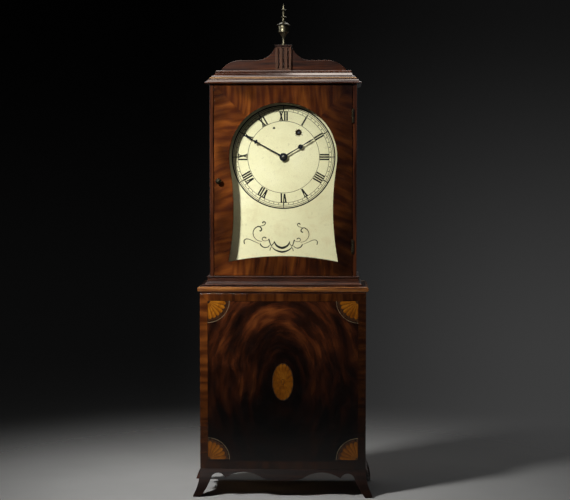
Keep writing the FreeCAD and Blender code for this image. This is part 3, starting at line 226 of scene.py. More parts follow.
def veneer_streaks(s, across, along, third, width, stretch=9.0, warp=1.2):
    """Streaky grain: quick changes across the grain, slow ones along it. Widths are in metres."""
    wander = s.noise(s.join(across, along, third), 18.0, 3.0)
    shifted = s.plus(across, s.times(s.minus(wander, 0.5), width * warp))
    length = s.over(along, width * stretch)
    broad = s.noise(s.join(s.over(shifted, width), length, third), 1.0, 1.0, 0.5)
    fine = s.noise(s.join(s.over(shifted, width * 0.22), length, third), 1.0, 4.0, 0.6)
    pores = s.noise(s.join(s.over(across, PORE_WIDE), s.over(along, PORE_LONG), third), 1.0, 2.0, 0.5)
    return broad, fine, pores


def polished(s, colour, pores, roughness=0.22, coat=0.3, specular=0.3):
    """A French-polished surface: thin gloss over the wood, with filled pores and a faint wave."""
    wave = s.noise(s.place, 22.0, 2.0)
    bumps = s.bump(pores, PORE_DEPTH, 0.5, s.bump(wave, POLISH_WAVE))
    smear = s.noise(s.place, 60.0, 5.0, 0.65)
    rough = s.fade(smear, 0.3, 0.75, roughness - 0.04, roughness + 0.06)
    return s.surface(Base_Color=colour, Roughness=rough, Normal=bumps, Specular_IOR_Level=specular,
                     Coat_Weight=coat, Coat_Roughness=0.08, Coat_IOR=1.45)


def wood_colour(s, broad, fine, pores, stops, fine_share=0.35):
    """The grain's colour, with the pores as dark dots."""
    tone = s.plus(s.times(broad, 1.0 - fine_share), s.times(fine, fine_share))
    return s.mix(s.fade(pores, 0.56, 0.7, 0.0, 0.35), s.ramp(tone, *stops), DARK)


def edges_of(s, low, high):
    """Distances in from the edges of a panel seen from the front: the sides, the foot and the top."""
    x, _, z = s.split(s.place)
    side = s.least(s.minus(x, low.x), s.minus(high.x, x))
    return side, s.minus(z, low.z), s.minus(high.z, z)


def door_veneer():
    """Crossbanded crotch veneer: soft streaks across each stile and rail, mitred at the two upper corners."""
    s = Shader("door_veneer")
    x, y, z = s.split(s.place)
    side, bottom, top = edges_of(s, DOOR_LOW, DOOR_HIGH)
    top_rail = s.fade(s.minus(side, top), -1.0 * MM, 3.5 * MM, smooth=True)
    between_stiles = s.fade(side, STILE_WIDE - 3.0 * MM, STILE_WIDE + 3.0 * MM, smooth=True)
    low_down = s.fade(bottom, FOOT_RAIL_TALL + 2.5 * MM, FOOT_RAIL_TALL - 2.5 * MM, smooth=True)
    rail = s.most(top_rail, s.times(between_stiles, low_down))
    on_right = s.above(x, 0.0)
    drift = s.times(s.minus(s.noise(s.place, 6.0, 1.0), 0.5), 0.05)
    lean = s.fade(on_right, 0.0, 1.0, -0.2, 0.5)
    slanted = s.plus(s.plus(z, s.times(x, lean)), drift)
    fanned = s.plus(s.plus(x, s.times(s.times(x, z), 0.8)), drift)
    stile_broad, stile_fine, _ = veneer_streaks(s, slanted, x, s.times(on_right, 3.0), STILE_STREAK, 4.0, 1.0)
    rail_broad, rail_fine, _ = veneer_streaks(s, fanned, z, 5.0, RAIL_STREAK, 6.0, 0.8)
    broad = s.pick(rail, stile_broad, rail_broad)
    fine = s.pick(rail, stile_fine, rail_fine)
    pores = s.noise(s.join(s.over(x, 3.0 * MM), y, s.over(z, PORE_WIDE)), 1.0, 2.0)
    colour = wood_colour(s, broad, fine, pores, DOOR_WOOD, 0.22)
    patches = s.fade(s.noise(s.place, 13.0, 2.0), 0.38, 0.64, 1.32, 0.5, True)
    # Darker towards the right: partly the right stile's darker veneer, partly painted shade for the light
    # falling off to the right.
    right_tone_and_painted_shade = s.fade(x, 0.0, DOOR_HIGH.x, 1.0, 0.24, True)
    colour = s.dimmed(colour, s.times(patches, right_tone_and_painted_shade))
    mitre = s.positive(s.minus(top, side))
    colour = s.mix(s.fade(mitre, 0.0, 0.6 * MM, 0.25, 0.0), colour, DARK)
    return polished(s, colour, pores, 0.21)


def crotch_figure(s, x, z):
    """Flame-like rings round a place just above the oval; gives the broad and fine figure and the reach."""
    centre = s.minus(z, OVAL.z + 6.0 * MM)
    squeeze = s.fade(s.above(centre, 0.0), 0.0, 1.0, 0.42, 0.74)
    reach = s.length(x, s.times(centre, squeeze))
    reach = s.plus(reach, s.times(s.minus(s.noise(s.place, 9.0, 3.0, 0.5), 0.5), 0.045))
    broad = s.noise(s.join(s.times(reach, 62.0), s.times(x, 17.0), s.times(z, 17.0)), 1.0, 2.0, 0.5)
    fine = s.noise(s.join(s.times(reach, 420.0), s.times(x, 32.0), s.times(z, 32.0)), 1.0, 3.0, 0.6)
    return broad, fine, reach


def base_veneer():
    """Swirling crotch mahogany inside a crossbanded border, darkest round the oval, and darker towards the
    foot and the right, partly with painted shade.
    """
    s = Shader("base_veneer")
    x, y, z = s.split(s.place)
    side, bottom, top = edges_of(s, PANEL_LOW, PANEL_HIGH)
    level = s.least(bottom, top)
    inward = s.least(side, level)
    border = s.below(inward, CROSSBAND)
    rail = s.below(level, side)
    pores = s.noise(s.join(s.over(x, 0.8 * MM), y, s.over(z, 5.0 * MM)), 1.0, 2.0)
    swirl_broad, swirl_fine, reach = crotch_figure(s, x, z)
    panel = wood_colour(s, swirl_broad, swirl_fine, pores, CROTCH, 0.2)
    gloom = s.fade(reach, 0.02, 0.085, 0.22, 1.0, True)
    # Darker towards the foot: partly darker veneer, partly painted shade for the light falling off downwards.
    low_tone_and_painted_shade = s.fade(z, PANEL_LOW.z + 0.05, PANEL_HIGH.z - 0.03, 0.08, 1.22, True)
    # Darker towards the right: partly darker veneer, partly painted shade for the light falling off to the
    # right.
    right_tone_and_painted_shade = s.fade(x, 0.05, PANEL_HIGH.x, 1.0, 0.45, True)
    panel = s.dimmed(panel, s.times(s.times(gloom, low_tone_and_painted_shade), right_tone_and_painted_shade))
    across, along = s.pick(rail, z, x), s.pick(rail, x, z)
    band_broad, band_fine, _ = veneer_streaks(s, across, along, 8.0, BAND_STREAK, 6.0, 1.2)
    bands = wood_colour(s, band_broad, band_fine, pores, BAND_WOOD, 0.25)
    # The bands also darken towards the foot: partly their veneer, partly painted shade.
    band_low_tone_and_painted_shade = s.fade(z, PANEL_LOW.z, PANEL_HIGH.z - 0.06, 0.3, 1.25, True)
    dull = s.fade(x, PANEL_LOW.x + CROSSBAND, PANEL_LOW.x + 2 * CROSSBAND, 0.74, 0.42)
    bands = s.dimmed(bands, s.times(dull, s.times(band_low_tone_and_painted_shade, right_tone_and_painted_shade)))
    colour = s.mix(border, panel, bands)
    joint = s.positive(s.minus(inward, CROSSBAND))
    colour = s.mix(s.fade(joint, 0.2 * MM, 0.7 * MM, 0.75, 0.0), colour, DARK)
    mitre = s.positive(s.minus(side, level))
    seam = s.times(s.fade(mitre, 0.0, 0.5 * MM, 0.5, 0.0), border)
    return polished(s, s.mix(seam, colour, DARK), pores, 0.21)


def grain_axes(s, direction):
    """Places along the grain, which follows the named axis, and across it; then the box's own x and y."""
    x, y, z = s.split(s.place)
    along, across = {"x": (x, (z, y)), "y": (y, (x, z)), "z": (z, (x, y))}[direction]
    return along, s.plus(*across), x, y


def straight_wood(name, direction, stops, width=6.0 * MM, roughness=0.23, coat=0.35, specular=0.3):
    """Straight-grained wood; direction is the axis that the grain follows."""
    s = Shader(name)
    along, across, x, y = grain_axes(s, direction)
    third = s.times(y if direction == "x" else x, 20.0)
    broad, fine, pores = veneer_streaks(s, across, along, third, width, 14.0, 1.4)
    return polished(s, wood_colour(s, broad, fine, pores, stops), pores, roughness, coat, specular)


def plinth_wood():
    """The fluted plinth: painted shade darkens its flutes and cap, and a pale painted highlight, mixed in by
    the grain, shows on the fillets between them.
    """
    s = Shader("mahogany_plinth")
    x, y, z = s.split(s.place)
    face = PLINTH_LOW.y + CAP_PROUD
    broad, fine, pores = veneer_streaks(s, s.plus(x, y), z, 3.0, 8.0 * MM, 14.0, 1.4)
    wood = wood_colour(s, broad, fine, pores, MAHOGANY)
    # A pale painted highlight, mixed in by the grain; it shows on the fillets.
    wood = s.mix(s.fade(fine, 0.35, 0.6, 0.35, 0.8), wood, FILLET_PAINTED_HIGHLIGHT)
    # Painted shade in the flutes, on the front face only.
    groove_painted_shade = s.fade(y, face + 0.1 * MM, face + 0.5 * MM)
    between = s.below(s.positive(x), PLINTH_HIGH.x - CAP_PROUD - 1.0 * MM)
    wood = s.mix(s.times(groove_painted_shade, between), wood, DARK)
    # Painted shade on the cap.
    cap = s.above(z, PLINTH_HIGH.z - CAP_HIGH)
    wood = s.mix(s.times(cap, 0.85), wood, CAP_PAINTED_SHADE)
    return polished(s, wood, pores, 0.24, 0.35)


def pine(direction):
    """Bare pine of the boards that aren't seen from the front: streaked, grimy and saw-marked."""
    s = Shader("pine_" + direction)
    along, across, _, _ = grain_axes(s, direction)
    broad, fine, pores = veneer_streaks(s, across, along, 2.0, 16.0 * MM, 16.0, 1.2)
    colour = wood_colour(s, broad, fine, pores, PINE, 0.3)
    grime = s.noise(s.place, 16.0, 4.0, 0.6)
    colour = s.mix(s.fade(grime, 0.45, 0.7, 0.0, 0.6), colour, PINE_GRIME)
    saw = s.noise(s.join(s.times(along, 900.0), s.times(across, 14.0)), 1.0, 2.0)
    bumps = s.bump(saw, 0.12 * MM, 0.5, s.bump(fine, 0.2 * MM, 0.5))
    return s.surface(Base_Color=colour, Roughness=0.82, Normal=bumps)


def inlay_wood(name, paleness):
    """Sand-shaded satinwood: gold, browner towards each leaf's edge; painted shade darkens it towards the
    panel's foot and the right.
    """
    s = Shader(name)
    x, _, z = s.split(s.place)
    broad = s.noise(s.place, 55.0, 4.0, 0.6, 0.6)
    fine = s.noise(s.stretched(900.0, 1.0, 140.0), 1.0, 3.0)
    colour = s.ramp(s.plus(s.times(broad, 0.6), s.times(fine, 0.4)), *SATINWOOD)
    edge = s.node("Attribute", attribute_name="shade").outputs["Fac"]
    colour = s.mix(s.fade(edge, 0.35, 1.0, 0.0, 0.7), colour, SCORCH)
    # Painted shade towards the panel's foot.
    colour = s.mix(s.fade(z, OVAL.z + 0.09, PANEL_LOW.z, 0.0, 0.45), colour, LOW_INLAY_PAINTED_SHADE)
    # Darker towards the right: painted shade; the paleness sets the inlay's own tone.
    colour = s.dimmed(colour, s.fade(x, 0.0, PANEL_HIGH.x, paleness, paleness * 0.75))
    return polished(s, colour, fine, 0.22, 0.25)


def speckled(name, scale, dark, pale):
    """Finely speckled inlay: the scorched rims and hubs, or a line of holly or boxwood dulled by polish."""
    s = Shader(name)
    tone = s.noise(s.place, scale, 3.0)
    return polished(s, s.ramp(tone, (0.3, dark), (0.7, pale)), tone)


# ---- metal, glass and paint ----
IRON = (0.018, 0.017, 0.017)
RUST = (0.075, 0.03, 0.014)
GUT = [(0.2, (0.2, 0.12, 0.05)), (0.8, (0.42, 0.29, 0.14))]
GLASS_TINT = (0.975, 0.98, 0.965)
DUST = (0.55, 0.53, 0.48)
CREAM = [(0.32, (0.74, 0.7, 0.45)), (0.52, (0.83, 0.8, 0.53)), (0.75, (0.87, 0.84, 0.6))]
YELLOWED = (0.56, 0.53, 0.35)
FLECK = (0.4, 0.36, 0.22)
SPECK = (0.3, 0.26, 0.15)
STAIN = (0.56, 0.45, 0.26)
CRACK = (0.34, 0.3, 0.18)
BARE_IRON = (0.045, 0.04, 0.03)
INK = [(0.35, (0.006, 0.007, 0.006)), (0.66, (0.014, 0.015, 0.012)), (0.8, (0.12, 0.11, 0.07))]
WORN_HOLE = 5.6 * MM


def metal(name, dull, bright, roughness, scale):
    """Handled metal: two colours mixed by grime, roughness that follows it, and small scratches."""
    s = Shader(name)
    grime = s.noise(s.place, scale, 6.0, 0.65, 0.4)
    colour = s.ramp(grime, (0.34, dull), (0.62, bright))
    scratch = s.noise(s.stretched(900.0, 900.0, 900.0), 1.0, 2.0)
    rough = s.plus(s.fade(grime, 0.3, 0.7, roughness + 0.22, roughness),
                   s.fade(scratch, 0.3, 0.7, -0.06, 0.06))
    bumps = s.bump(scratch, 0.02 * MM, 0.6, s.bump(grime, 0.06 * MM, 0.8))
    return s.surface(Base_Color=colour, Metallic=1.0, Roughness=rough, Normal=bumps)


def cast_iron():
    s = Shader("cast_iron")
    grain = s.noise(s.place, 700.0, 5.0, 0.7)
    rust = s.noise(s.place, 40.0, 5.0, 0.6)
    colour = s.mix(s.fade(rust, 0.52, 0.68), IRON, RUST)
    rough = s.fade(rust, 0.4, 0.7, 0.55, 0.85)
    return s.surface(Base_Color=colour, Metallic=0.35, Roughness=rough, Normal=s.bump(grain, 0.4 * MM, 0.7))


def gut():
    """Twisted gut, with a slanting lay."""
    s = Shader("gut_line")
    x, _, z = s.split(s.place)
    lay = s.join(s.times(x, 300.0), 0.0, s.times(z, 420.0))
    twist = s.node("TexWave", {"Vector": lay, "Scale": 1.0, "Distortion": 0.4}, wave_type="BANDS",
                   bands_direction="DIAGONAL").outputs["Fac"]
    return s.surface(Base_Color=s.ramp(twist, *GUT), Roughness=0.5, Subsurface_Weight=0.1,
                     Normal=s.bump(twist, 0.2 * MM))


def window_glass():
    """Old crown glass: clear, faintly green, with a slight wave, a little dust and a thin reflection."""
    s = Shader("old_glass")
    wave = s.bump(s.noise(s.place, 8.0, 2.0), 1.5 * MM, 0.4)
    gloss = s.node("BsdfGlossy", {"Color": (1.0, 1.0, 1.0), "Roughness": 0.03, "Normal": wave}).outputs[0]
    clear = s.node("BsdfTransparent", {"Color": GLASS_TINT}).outputs[0]
    dust = s.node("BsdfDiffuse", {"Color": DUST}).outputs[0]
    film = s.fade(s.noise(s.place, 25.0, 5.0, 0.7), 0.45, 0.8, 0.0, 0.004)
    outer = s.minus(1.0, s.node("NewGeometry").outputs["Backfacing"])
    share = s.times(s.node("Fresnel", {"IOR": 1.28}).outputs[0], outer)
    dusty = s.node("MixShader", {0: film, 1: clear, 2: dust}).outputs[0]
    return s.finish(s.node("MixShader", {0: share, 1: dusty, 2: gloss}))


def dial_paint():
    """Old cream paint on iron: mottled, yellower and greyer towards the foot, with fine craquelure."""
    s = Shader("dial_paint")
    x, _, z = s.split(s.place)
    cloud = s.noise(s.place, 14.0, 5.0, 0.6)
    speck = s.noise(s.place, 420.0, 4.0, 0.7)
    fleck = s.noise(s.place, 150.0, 3.0, 0.6)
    colour = s.ramp(cloud, *CREAM)
    slope = s.minus(s.times(x, 0.8), z)
    low = s.fade(slope, -DIAL_CENTRE.z - 0.05, 0.2 - DIAL_CENTRE.z, 0.0, 0.55, True)
    colour = s.mix(low, colour, YELLOWED)
    colour = s.mix(s.fade(fleck, 0.6, 0.72, 0.0, 0.35), colour, FLECK)
    colour = s.mix(s.fade(speck, 0.66, 0.76, 0.0, 0.45), colour, SPECK)
    stain = s.fade(s.noise(s.place, 46.0, 5.0, 0.7, 0.5), 0.52, 0.7)
    worn = s.fade(z, DIAL_CENTRE.z + 0.05, DIAL_CENTRE.z - 0.15, 0.05, 0.42, True)
    colour = s.mix(s.times(stain, worn), colour, STAIN)
    cells = s.node("TexVoronoi", {"Vector": s.place, "Scale": 190.0}, feature="DISTANCE_TO_EDGE")
    cracks = cells.outputs["Distance"]
    colour = s.mix(s.fade(cracks, 0.0, 0.03, 0.12, 0.0), colour, CRACK)
    hole = s.length(s.minus(x, WINDING.x), s.minus(z, WINDING.z))
    torn = s.fade(s.noise(s.place, 330.0, 3.0, 0.6), 0.35, 0.65, -3.4 * MM, 3.4 * MM)
    bare = s.fade(s.plus(hole, torn), WORN_HOLE - 0.6 * MM, WORN_HOLE + 0.6 * MM, 0.85, 0.0)
    colour = s.mix(bare, colour, BARE_IRON)
    rough = s.fade(cloud, 0.3, 0.7, 0.42, 0.58)
    bumps = s.bump(speck, 0.08 * MM, 0.4, s.bump(cracks, 0.04 * MM, 0.2))
    return s.surface(Base_Color=colour, Roughness=rough, Specular_IOR_Level=0.35, Normal=bumps)


def dial_ink():
    """Black paint, worn through in specks."""
    s = Shader("dial_ink")
    wear = s.noise(s.place, 260.0, 4.0, 0.6)
    return s.surface(Base_Color=s.ramp(wear, *INK), Roughness=0.6, Specular_IOR_Level=0.2,
                     Normal=s.bump(wear, 0.03 * MM, 0.4))


# ---- mesh making ----
REPLACED = set()
ROUNDED_FROM = radians(28.0)


def new_object(name, data):
    made = bpy.data.objects.new(name, data)
    bpy.context.scene.collection.objects.link(made)
    return made


def new_piece(name, mesh, body, material, replaced=()):
    """A mesh as a named piece: it rides on its body, takes the given finish and stands for CAD nodes."""
    made = new_object(name, mesh)
    mesh.materials.append(material)
    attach(made, body)
    if replaced:
        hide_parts(*replaced)
        REPLACED.update(replaced)
    return made


def shade_smooth(mesh, degrees=32.0):
    mesh.shade_smooth()
    mesh.set_sharp_from_angle(angle=radians(degrees))


def round_arrises(made, width, segments=2, sharper_than=ROUNDED_FROM):
    rounding = made.modifiers.new("arrises", "BEVEL")
    rounding.width = width
    rounding.segments = segments
    rounding.limit_method = "ANGLE"
    rounding.angle_limit = sharper_than
    return rounding


def softened(node, material, width, segments=2):
    """A CAD node's shape with worn, rounded arrises, standing for the node; the width is in millimetres."""
    work = bmesh.new()
    work.from_mesh(frame["nodes"][node].data)
    bmesh.ops.remove_doubles(work, verts=work.verts, dist=1e-6)
    bmesh.ops.dissolve_limit(work, angle_limit=radians(1.0), verts=work.verts, edges=work.edges)
    mesh = bpy.data.meshes.new(node + "_finished")
    work.to_mesh(mesh)
    work.free()
    made = new_piece(node + "_finished", mesh, BODY_OF[node], material, (node,))
    rounding = round_arrises(made, width * MM, segments)
    rounding.harden_normals = True
    flats = made.modifiers.new("flat_faces", "WEIGHTED_NORMAL")
    flats.keep_sharp = True
    shade_smooth(mesh, 40.0)


def band(work, left, right, depths, closed=False, shades=None, layer=None):
    """A thin solid strip between two runs of (x, z) points, with its front and back at the two depths."""
    rows = []
    for index, (a, b) in enumerate(zip(left, right)):
        row = [work.verts.new((x, y, z)) for y in depths for x, z in (a, b)]
        if layer is not None:
            for corner in row:
                corner[layer] = shades[index]
        rows.append(row)
    following = rows[1:] + rows[:1] if closed else rows[1:]
    for one, two in zip(rows, following):
        for near, far in ((0, 1), (1, 3), (3, 2), (2, 0)):
            work.faces.new((one[near], one[far], two[far], two[near]))
    if not closed:
        work.faces.new((rows[0][0], rows[0][2], rows[0][3], rows[0][1]))
        work.faces.new((rows[-1][0], rows[-1][1], rows[-1][3], rows[-1][2]))


def finish_mesh(work, name):
    bmesh.ops.recalc_face_normals(work, faces=work.faces)
    mesh = bpy.data.meshes.new(name)
    work.to_mesh(mesh)
    work.free()
    return mesh


def smooth_run(points, steps=7):
    """Points along a smooth curve through the given ones (Catmull-Rom)."""
    padded = [points[0]] + list(points) + [points[-1]]
    run = []
    for before, one, two, after in zip(padded, padded[1:], padded[2:], padded[3:]):
        for index in range(steps):
            t = index / steps
            run.append(tuple(0.5 * (2 * b + (c - a) * t + (2 * a - 5 * b + 4 * c - d) * t * t
                                    + (3 * b - a - 3 * c + d) * t ** 3)
                             for a, b, c, d in zip(before, one, two, after)))
    return run + [tuple(points[-1])]


def offsets(run, widths):
    """The two edges of a stroke along a run of points, half of its width to each side."""
    left, right = [], []
    for index, (x, z) in enumerate(run):
        ahead, behind = run[min(index + 1, len(run) - 1)], run[max(index - 1, 0)]
        along = Vector((ahead[0] - behind[0], ahead[1] - behind[1])).normalized()
        half = widths[index] / 2
        left.append((x - along.y * half, z + along.x * half))
        right.append((x + along.y * half, z - along.x * half))
    return left, right


def ring_points(centre, radius, count):
    angles = [2 * pi * index / count for index in range(count)]
    return [(centre.x + radius * sin(angle), centre.z + radius * cos(angle)) for angle in angles]


def ring_band(work, centre, inner, outer, depths, count):
    band(work, ring_points(centre, inner, count), ring_points(centre, outer, count), depths, closed=True)


def lathe(name, centre, profile, axis, count=48):
    """A turned mesh: profile holds (distance along the axis, radius) pairs, from one end to the other."""
    work = bmesh.new()
    rings = []
    for along, radius in profile:
        around = []
        for index in range(count if radius > 0 else 1):
            angle = 2 * pi * index / count
            u, v = radius * cos(angle), radius * sin(angle)
            spot = {"y": (u, along, v), "z": (u, v, along)}[axis]
            around.append(work.verts.new(Vector(spot) + centre))
        rings.append(around)
    for one, two in zip(rings, rings[1:]):
        for index in range(count):
            after = (index + 1) % count
            places = ((one, index), (one, after), (two, after), (two, index))
            loop = [ring[step % len(ring)] for ring, step in places]
            work.faces.new(list(dict.fromkeys(loop)))
    return finish_mesh(work, name)


# ---- the dial's painting ----
PAINT = 0.05 * MM
PAINTED = (DIAL_FRONT - PAINT, DIAL_FRONT + PAINT)
HAIR = 0.4 * MM
RING_OUTER = 94.2 * MM
RING_WIDE = 2.4 * MM
RING_GAP = 3.5 * MM
INNER_LINE = 0.9 * MM
CHAPTER_INNER = 65.0 * MM
TRACK_INNER = 82.8 * MM
TRACK_OUTER = 87.3 * MM
TICK = 1.3 * MM
DIAMOND_TALL = 2.6 * MM
DIAMOND_WIDE = 1.5 * MM
NUMERAL_FOOT = 66.4 * MM
NUMERAL_HEAD = 81.6 * MM
GLYPH_WIDTH = {"I": 4.2 * MM, "V": 8.0 * MM, "X": 8.6 * MM}
THICK = 2.9 * MM
THIN = 1.9 * MM
SERIF = 1.4 * MM
NUMERALS = ["XII", "I", "II", "III", "IIII", "V", "VI", "VII", "VIII", "IX", "X", "XI"]


def glyph_bars(letter, left):
    """The strokes of one numeral letter: (start, end, width), the ends as (across, up) metres."""
    width = GLYPH_WIDTH[letter]
    middle, right = left + width / 2, left + width
    low, high = NUMERAL_FOOT, NUMERAL_HEAD
    edge = 0.5 * MM
    if letter == "I":
        return [((middle, low), (middle, high), THICK)] + [
            ((left + edge, level), (right - edge, level), SERIF) for level in (low, high)]
    if letter == "V":
        return [((left + THICK * 0.7, high), (middle + THICK * 0.1, low), THICK),
                ((right - THICK * 0.6, high), (middle + THICK * 0.3, low), THIN),
                ((left, high), (left + THICK * 1.6, high), SERIF),
                ((right - THICK * 1.2, high), (right, high), SERIF)]
    return [((left + THICK * 0.8, high), (right - THICK * 0.8, low), THICK),
            ((right - THICK * 0.7, high), (left + THICK * 0.7, low), THIN)] + [
                ((side - THICK * 0.8, level), (side + THICK * 0.8, level), SERIF)
                for side in (left + THICK * 0.8, right - THICK * 0.8) for level in (low, high)]


def turned_points(points, angle):
    """Points given as (across, up) from the dial's centre, turned clockwise to a place round the dial."""
    return [(DIAL_CENTRE.x + u * cos(angle) + v * sin(angle),
             DIAL_CENTRE.z - u * sin(angle) + v * cos(angle)) for u, v in points]


def bar(work, start, end, width, angle, depths):
    left, right = offsets([start, end], [width, width])
    band(work, turned_points(left, angle), turned_points(right, angle), depths)


# The scroll's left half, then the swags across its middle, as brush strokes in millimetres from the dial's
# centre: the points, then the widths at the start and end, or a swag's width and how much it swells.
SCROLLS = [
    ([(-71, -158), (-72, -152.5), (-68.5, -149), (-62, -149.6), (-54, -153.2), (-45, -157)], 1.5, 0.6),
    ([(-39, -153.6), (-48, -151), (-54, -144.5), (-55.5, -137), (-52.5, -130), (-46, -126), (-41, -128.4),
      (-40.2, -132.6), (-43.8, -134.6)], 0.6, 2.0),
    ([(-46, -126.4), (-40, -125), (-35, -123.3), (-33, -119.4), (-36, -117.4), (-38.6, -120)], 0.5, 1.9),
    ([(-31.6, -147.6), (-35, -145.4), (-38.8, -147.6), (-37.6, -151.4), (-32, -152.2), (-26, -150)],
     1.6, 0.5),
    ([(-43, -157), (-40, -161.6), (-34.6, -164.4), (-28.6, -163.4), (-25.2, -159.8)], 1.9, 0.9),
    ([(-27, -148.6), (-25.4, -154), (-22.6, -160.4), (-18.6, -157), (-16.8, -153)], 1.9, 0.8),
    ([(-25, -170), (-23.4, -165), (-20.6, -161.4)], 1.2, 0.8),
]
SWAGS = [([(-17, -153), (-13.4, -160), (-6, -164.4), (0.6, -164.4), (8, -160), (11.6, -153)], 1.0, 2.2),
         ([(-21, -164), (-14.6, -169), (-6, -172), (0.6, -172), (9.2, -169), (15.6, -164)], 0.8, 1.7)]
TOUCH_UP = ([(-19, 51), (-17.4, 53), (-15.6, 51.4)], 1.0, 1.4, 1.2)
SCROLL_CENTRE = -2.7
SCROLL_LEVEL = -150
BRUSH = 1.35


def brush(work, points, start_width, end_width, swell=0.0):
    """One painted stroke through (across, up) points in millimetres from the dial's centre."""
    run = smooth_run([(x * MM, z * MM) for x, z in points])
    last = len(run) - 1
    widths = [(start_width + (end_width - start_width) * index / last
               + swell * sin(pi * index / last)) * BRUSH * MM for index in range(last + 1)]
    left, right = offsets(run, widths)
    band(work, turned_points(left, 0.0), turned_points(right, 0.0), PAINTED)


def paint_rings(work):
    for inner, outer in ((RING_OUTER - RING_WIDE, RING_OUTER),
                         (RING_OUTER - RING_GAP - INNER_LINE, RING_OUTER - RING_GAP),
                         (TRACK_OUTER - HAIR, TRACK_OUTER + HAIR), (TRACK_INNER - HAIR, TRACK_INNER + HAIR),
                         (CHAPTER_INNER - HAIR, CHAPTER_INNER + HAIR)):
        ring_band(work, DIAL_CENTRE, inner, outer, PAINTED, 180)


def paint_minutes(work):
    """A tick for each minute; each fifth one is longer and has a diamond on the track."""
    middle = (TRACK_INNER + TRACK_OUTER) / 2
    low, high = middle - DIAMOND_TALL, middle + DIAMOND_TALL
    point = 0.02 * MM
    for minute in range(60):
        angle = radians(6 * minute)
        if minute % 5:
            bar(work, (0, TRACK_INNER + 1.2 * MM), (0, TRACK_OUTER - 1.0 * MM), TICK, angle, PAINTED)
        else:
            bar(work, (0, TRACK_INNER), (0, RING_OUTER - 1.8 * MM), TICK, angle, PAINTED)
            left = turned_points([(0, low), (-DIAMOND_WIDE, middle), (0, high)], angle)
            right = turned_points([(point, low), (DIAMOND_WIDE, middle), (point, high)], angle)
            band(work, left, right, PAINTED)


def paint_numerals(work):
    for hour, numeral in enumerate(NUMERALS):
        left = -sum(GLYPH_WIDTH[letter] for letter in numeral) / 2
        for letter in numeral:
            for start, end, width in glyph_bars(letter, left):
                bar(work, start, end, width, radians(30 * hour), PAINTED)
            left += GLYPH_WIDTH[letter]


def paint_scroll(work):
    """Each stroke of the scroll, and its slightly smaller twin on the right; then the swags."""
    for points, start_width, end_width in SCROLLS:
        brush(work, points, start_width, end_width)
        twin = [(2 * SCROLL_CENTRE - x * 0.93, SCROLL_LEVEL + (z - SCROLL_LEVEL) * 0.96 - 1.5)
                for x, z in points]
        brush(work, twin, start_width * 0.85, end_width * 0.85)
    for points, width, swell in SWAGS:
        brush(work, points, width, width, swell)


def paint_dial(ink):
    """Rings, minute track, numerals, the scroll below them and a touch-up spot, as raised paint."""
    work = bmesh.new()
    paint_rings(work)
    paint_minutes(work)
    paint_numerals(work)
    paint_scroll(work)
    brush(work, *TOUCH_UP)
    new_piece("dial_painting", finish_mesh(work, "dial_painting"), "case", ink)


# ---- hands ----
RAISED = 0.03 * MM
HUB_HOLE = 2.1 * MM
STEM_WIDTHS = [2.8 * MM, 2.2 * MM, 1.8 * MM, 1.7 * MM, 3.0 * MM, 0.4 * MM]


def hand(node, ornament, steel, angle, length, ornament_at, hub):
    """A slender blued hand: tapering stem, an ornament part-way out and a leaf-shaped point."""
    low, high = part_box(node)
    beyond = length - ornament_at
    stem = [0.0, 0.5 * ornament_at, ornament_at, ornament_at + 0.25 * beyond, ornament_at + 0.62 * beyond,
            length - 0.5 * MM]
    work = bmesh.new()
    left, right = offsets([(0.0, step) for step in stem], STEM_WIDTHS)
    band(work, turned_points(left, angle), turned_points(right, angle), (low.y, high.y))
    ring_band(work, DIAL_CENTRE, HUB_HOLE, hub, (low.y - 0.02 * MM, high.y), 48)
    raised = (low.y - RAISED, high.y)

    def eyelet(across, up, inner, outer, count):
        x, z = turned_points([(across, ornament_at + up)], angle)[0]
        ring_band(work, Vector((x, 0.0, z)), inner, outer, raised, count)

    if ornament == "ring":
        eyelet(0.0, 0.0, 1.2 * MM, 4.3 * MM, 32)
        for end in (ornament_at - 4.6 * MM, ornament_at + 4.6 * MM):
            bar(work, (-1.5 * MM, end), (1.5 * MM, end), 0.8 * MM, angle, raised)
    else:
        lobe = 2.418 * MM
        for across, up in ((lobe, 0.0), (-lobe, 0.0), (0.0, lobe), (0.0, -lobe)):
            eyelet(across, up, 0.05 * MM, 1.75 * MM, 20)
    name = node + "_blued"
    made = new_piece(name, finish_mesh(work, name), BODY_OF[node], steel, (node,))
    round_arrises(made, 0.12 * MM, sharper_than=radians(40.0))


def collet(material):
    """The domed washer that holds the hands."""
    low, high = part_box("hand_collet")
    radius = (high.x - low.x) / 2
    dome_deep = (high.y - low.y) * 0.75
    steps = 10
    angles = [pi / 2 * index / steps for index in range(steps, -1, -1)]
    dome = [(low.y + dome_deep * (1 - sin(angle)), radius * 0.98 * cos(angle)) for angle in angles]
    profile = [(dome[0][0], 0.0)] + dome[1:] + [(high.y, radius), (high.y, 0.0)]
    centre = Vector((DIAL_CENTRE.x, 0.0, DIAL_CENTRE.z))
    mesh = lathe("hand_collet_domed", centre, profile, "y")
    shade_smooth(mesh)
    new_piece("hand_collet_domed", mesh, BODY_OF["hand_collet"], material, ("hand_collet",))


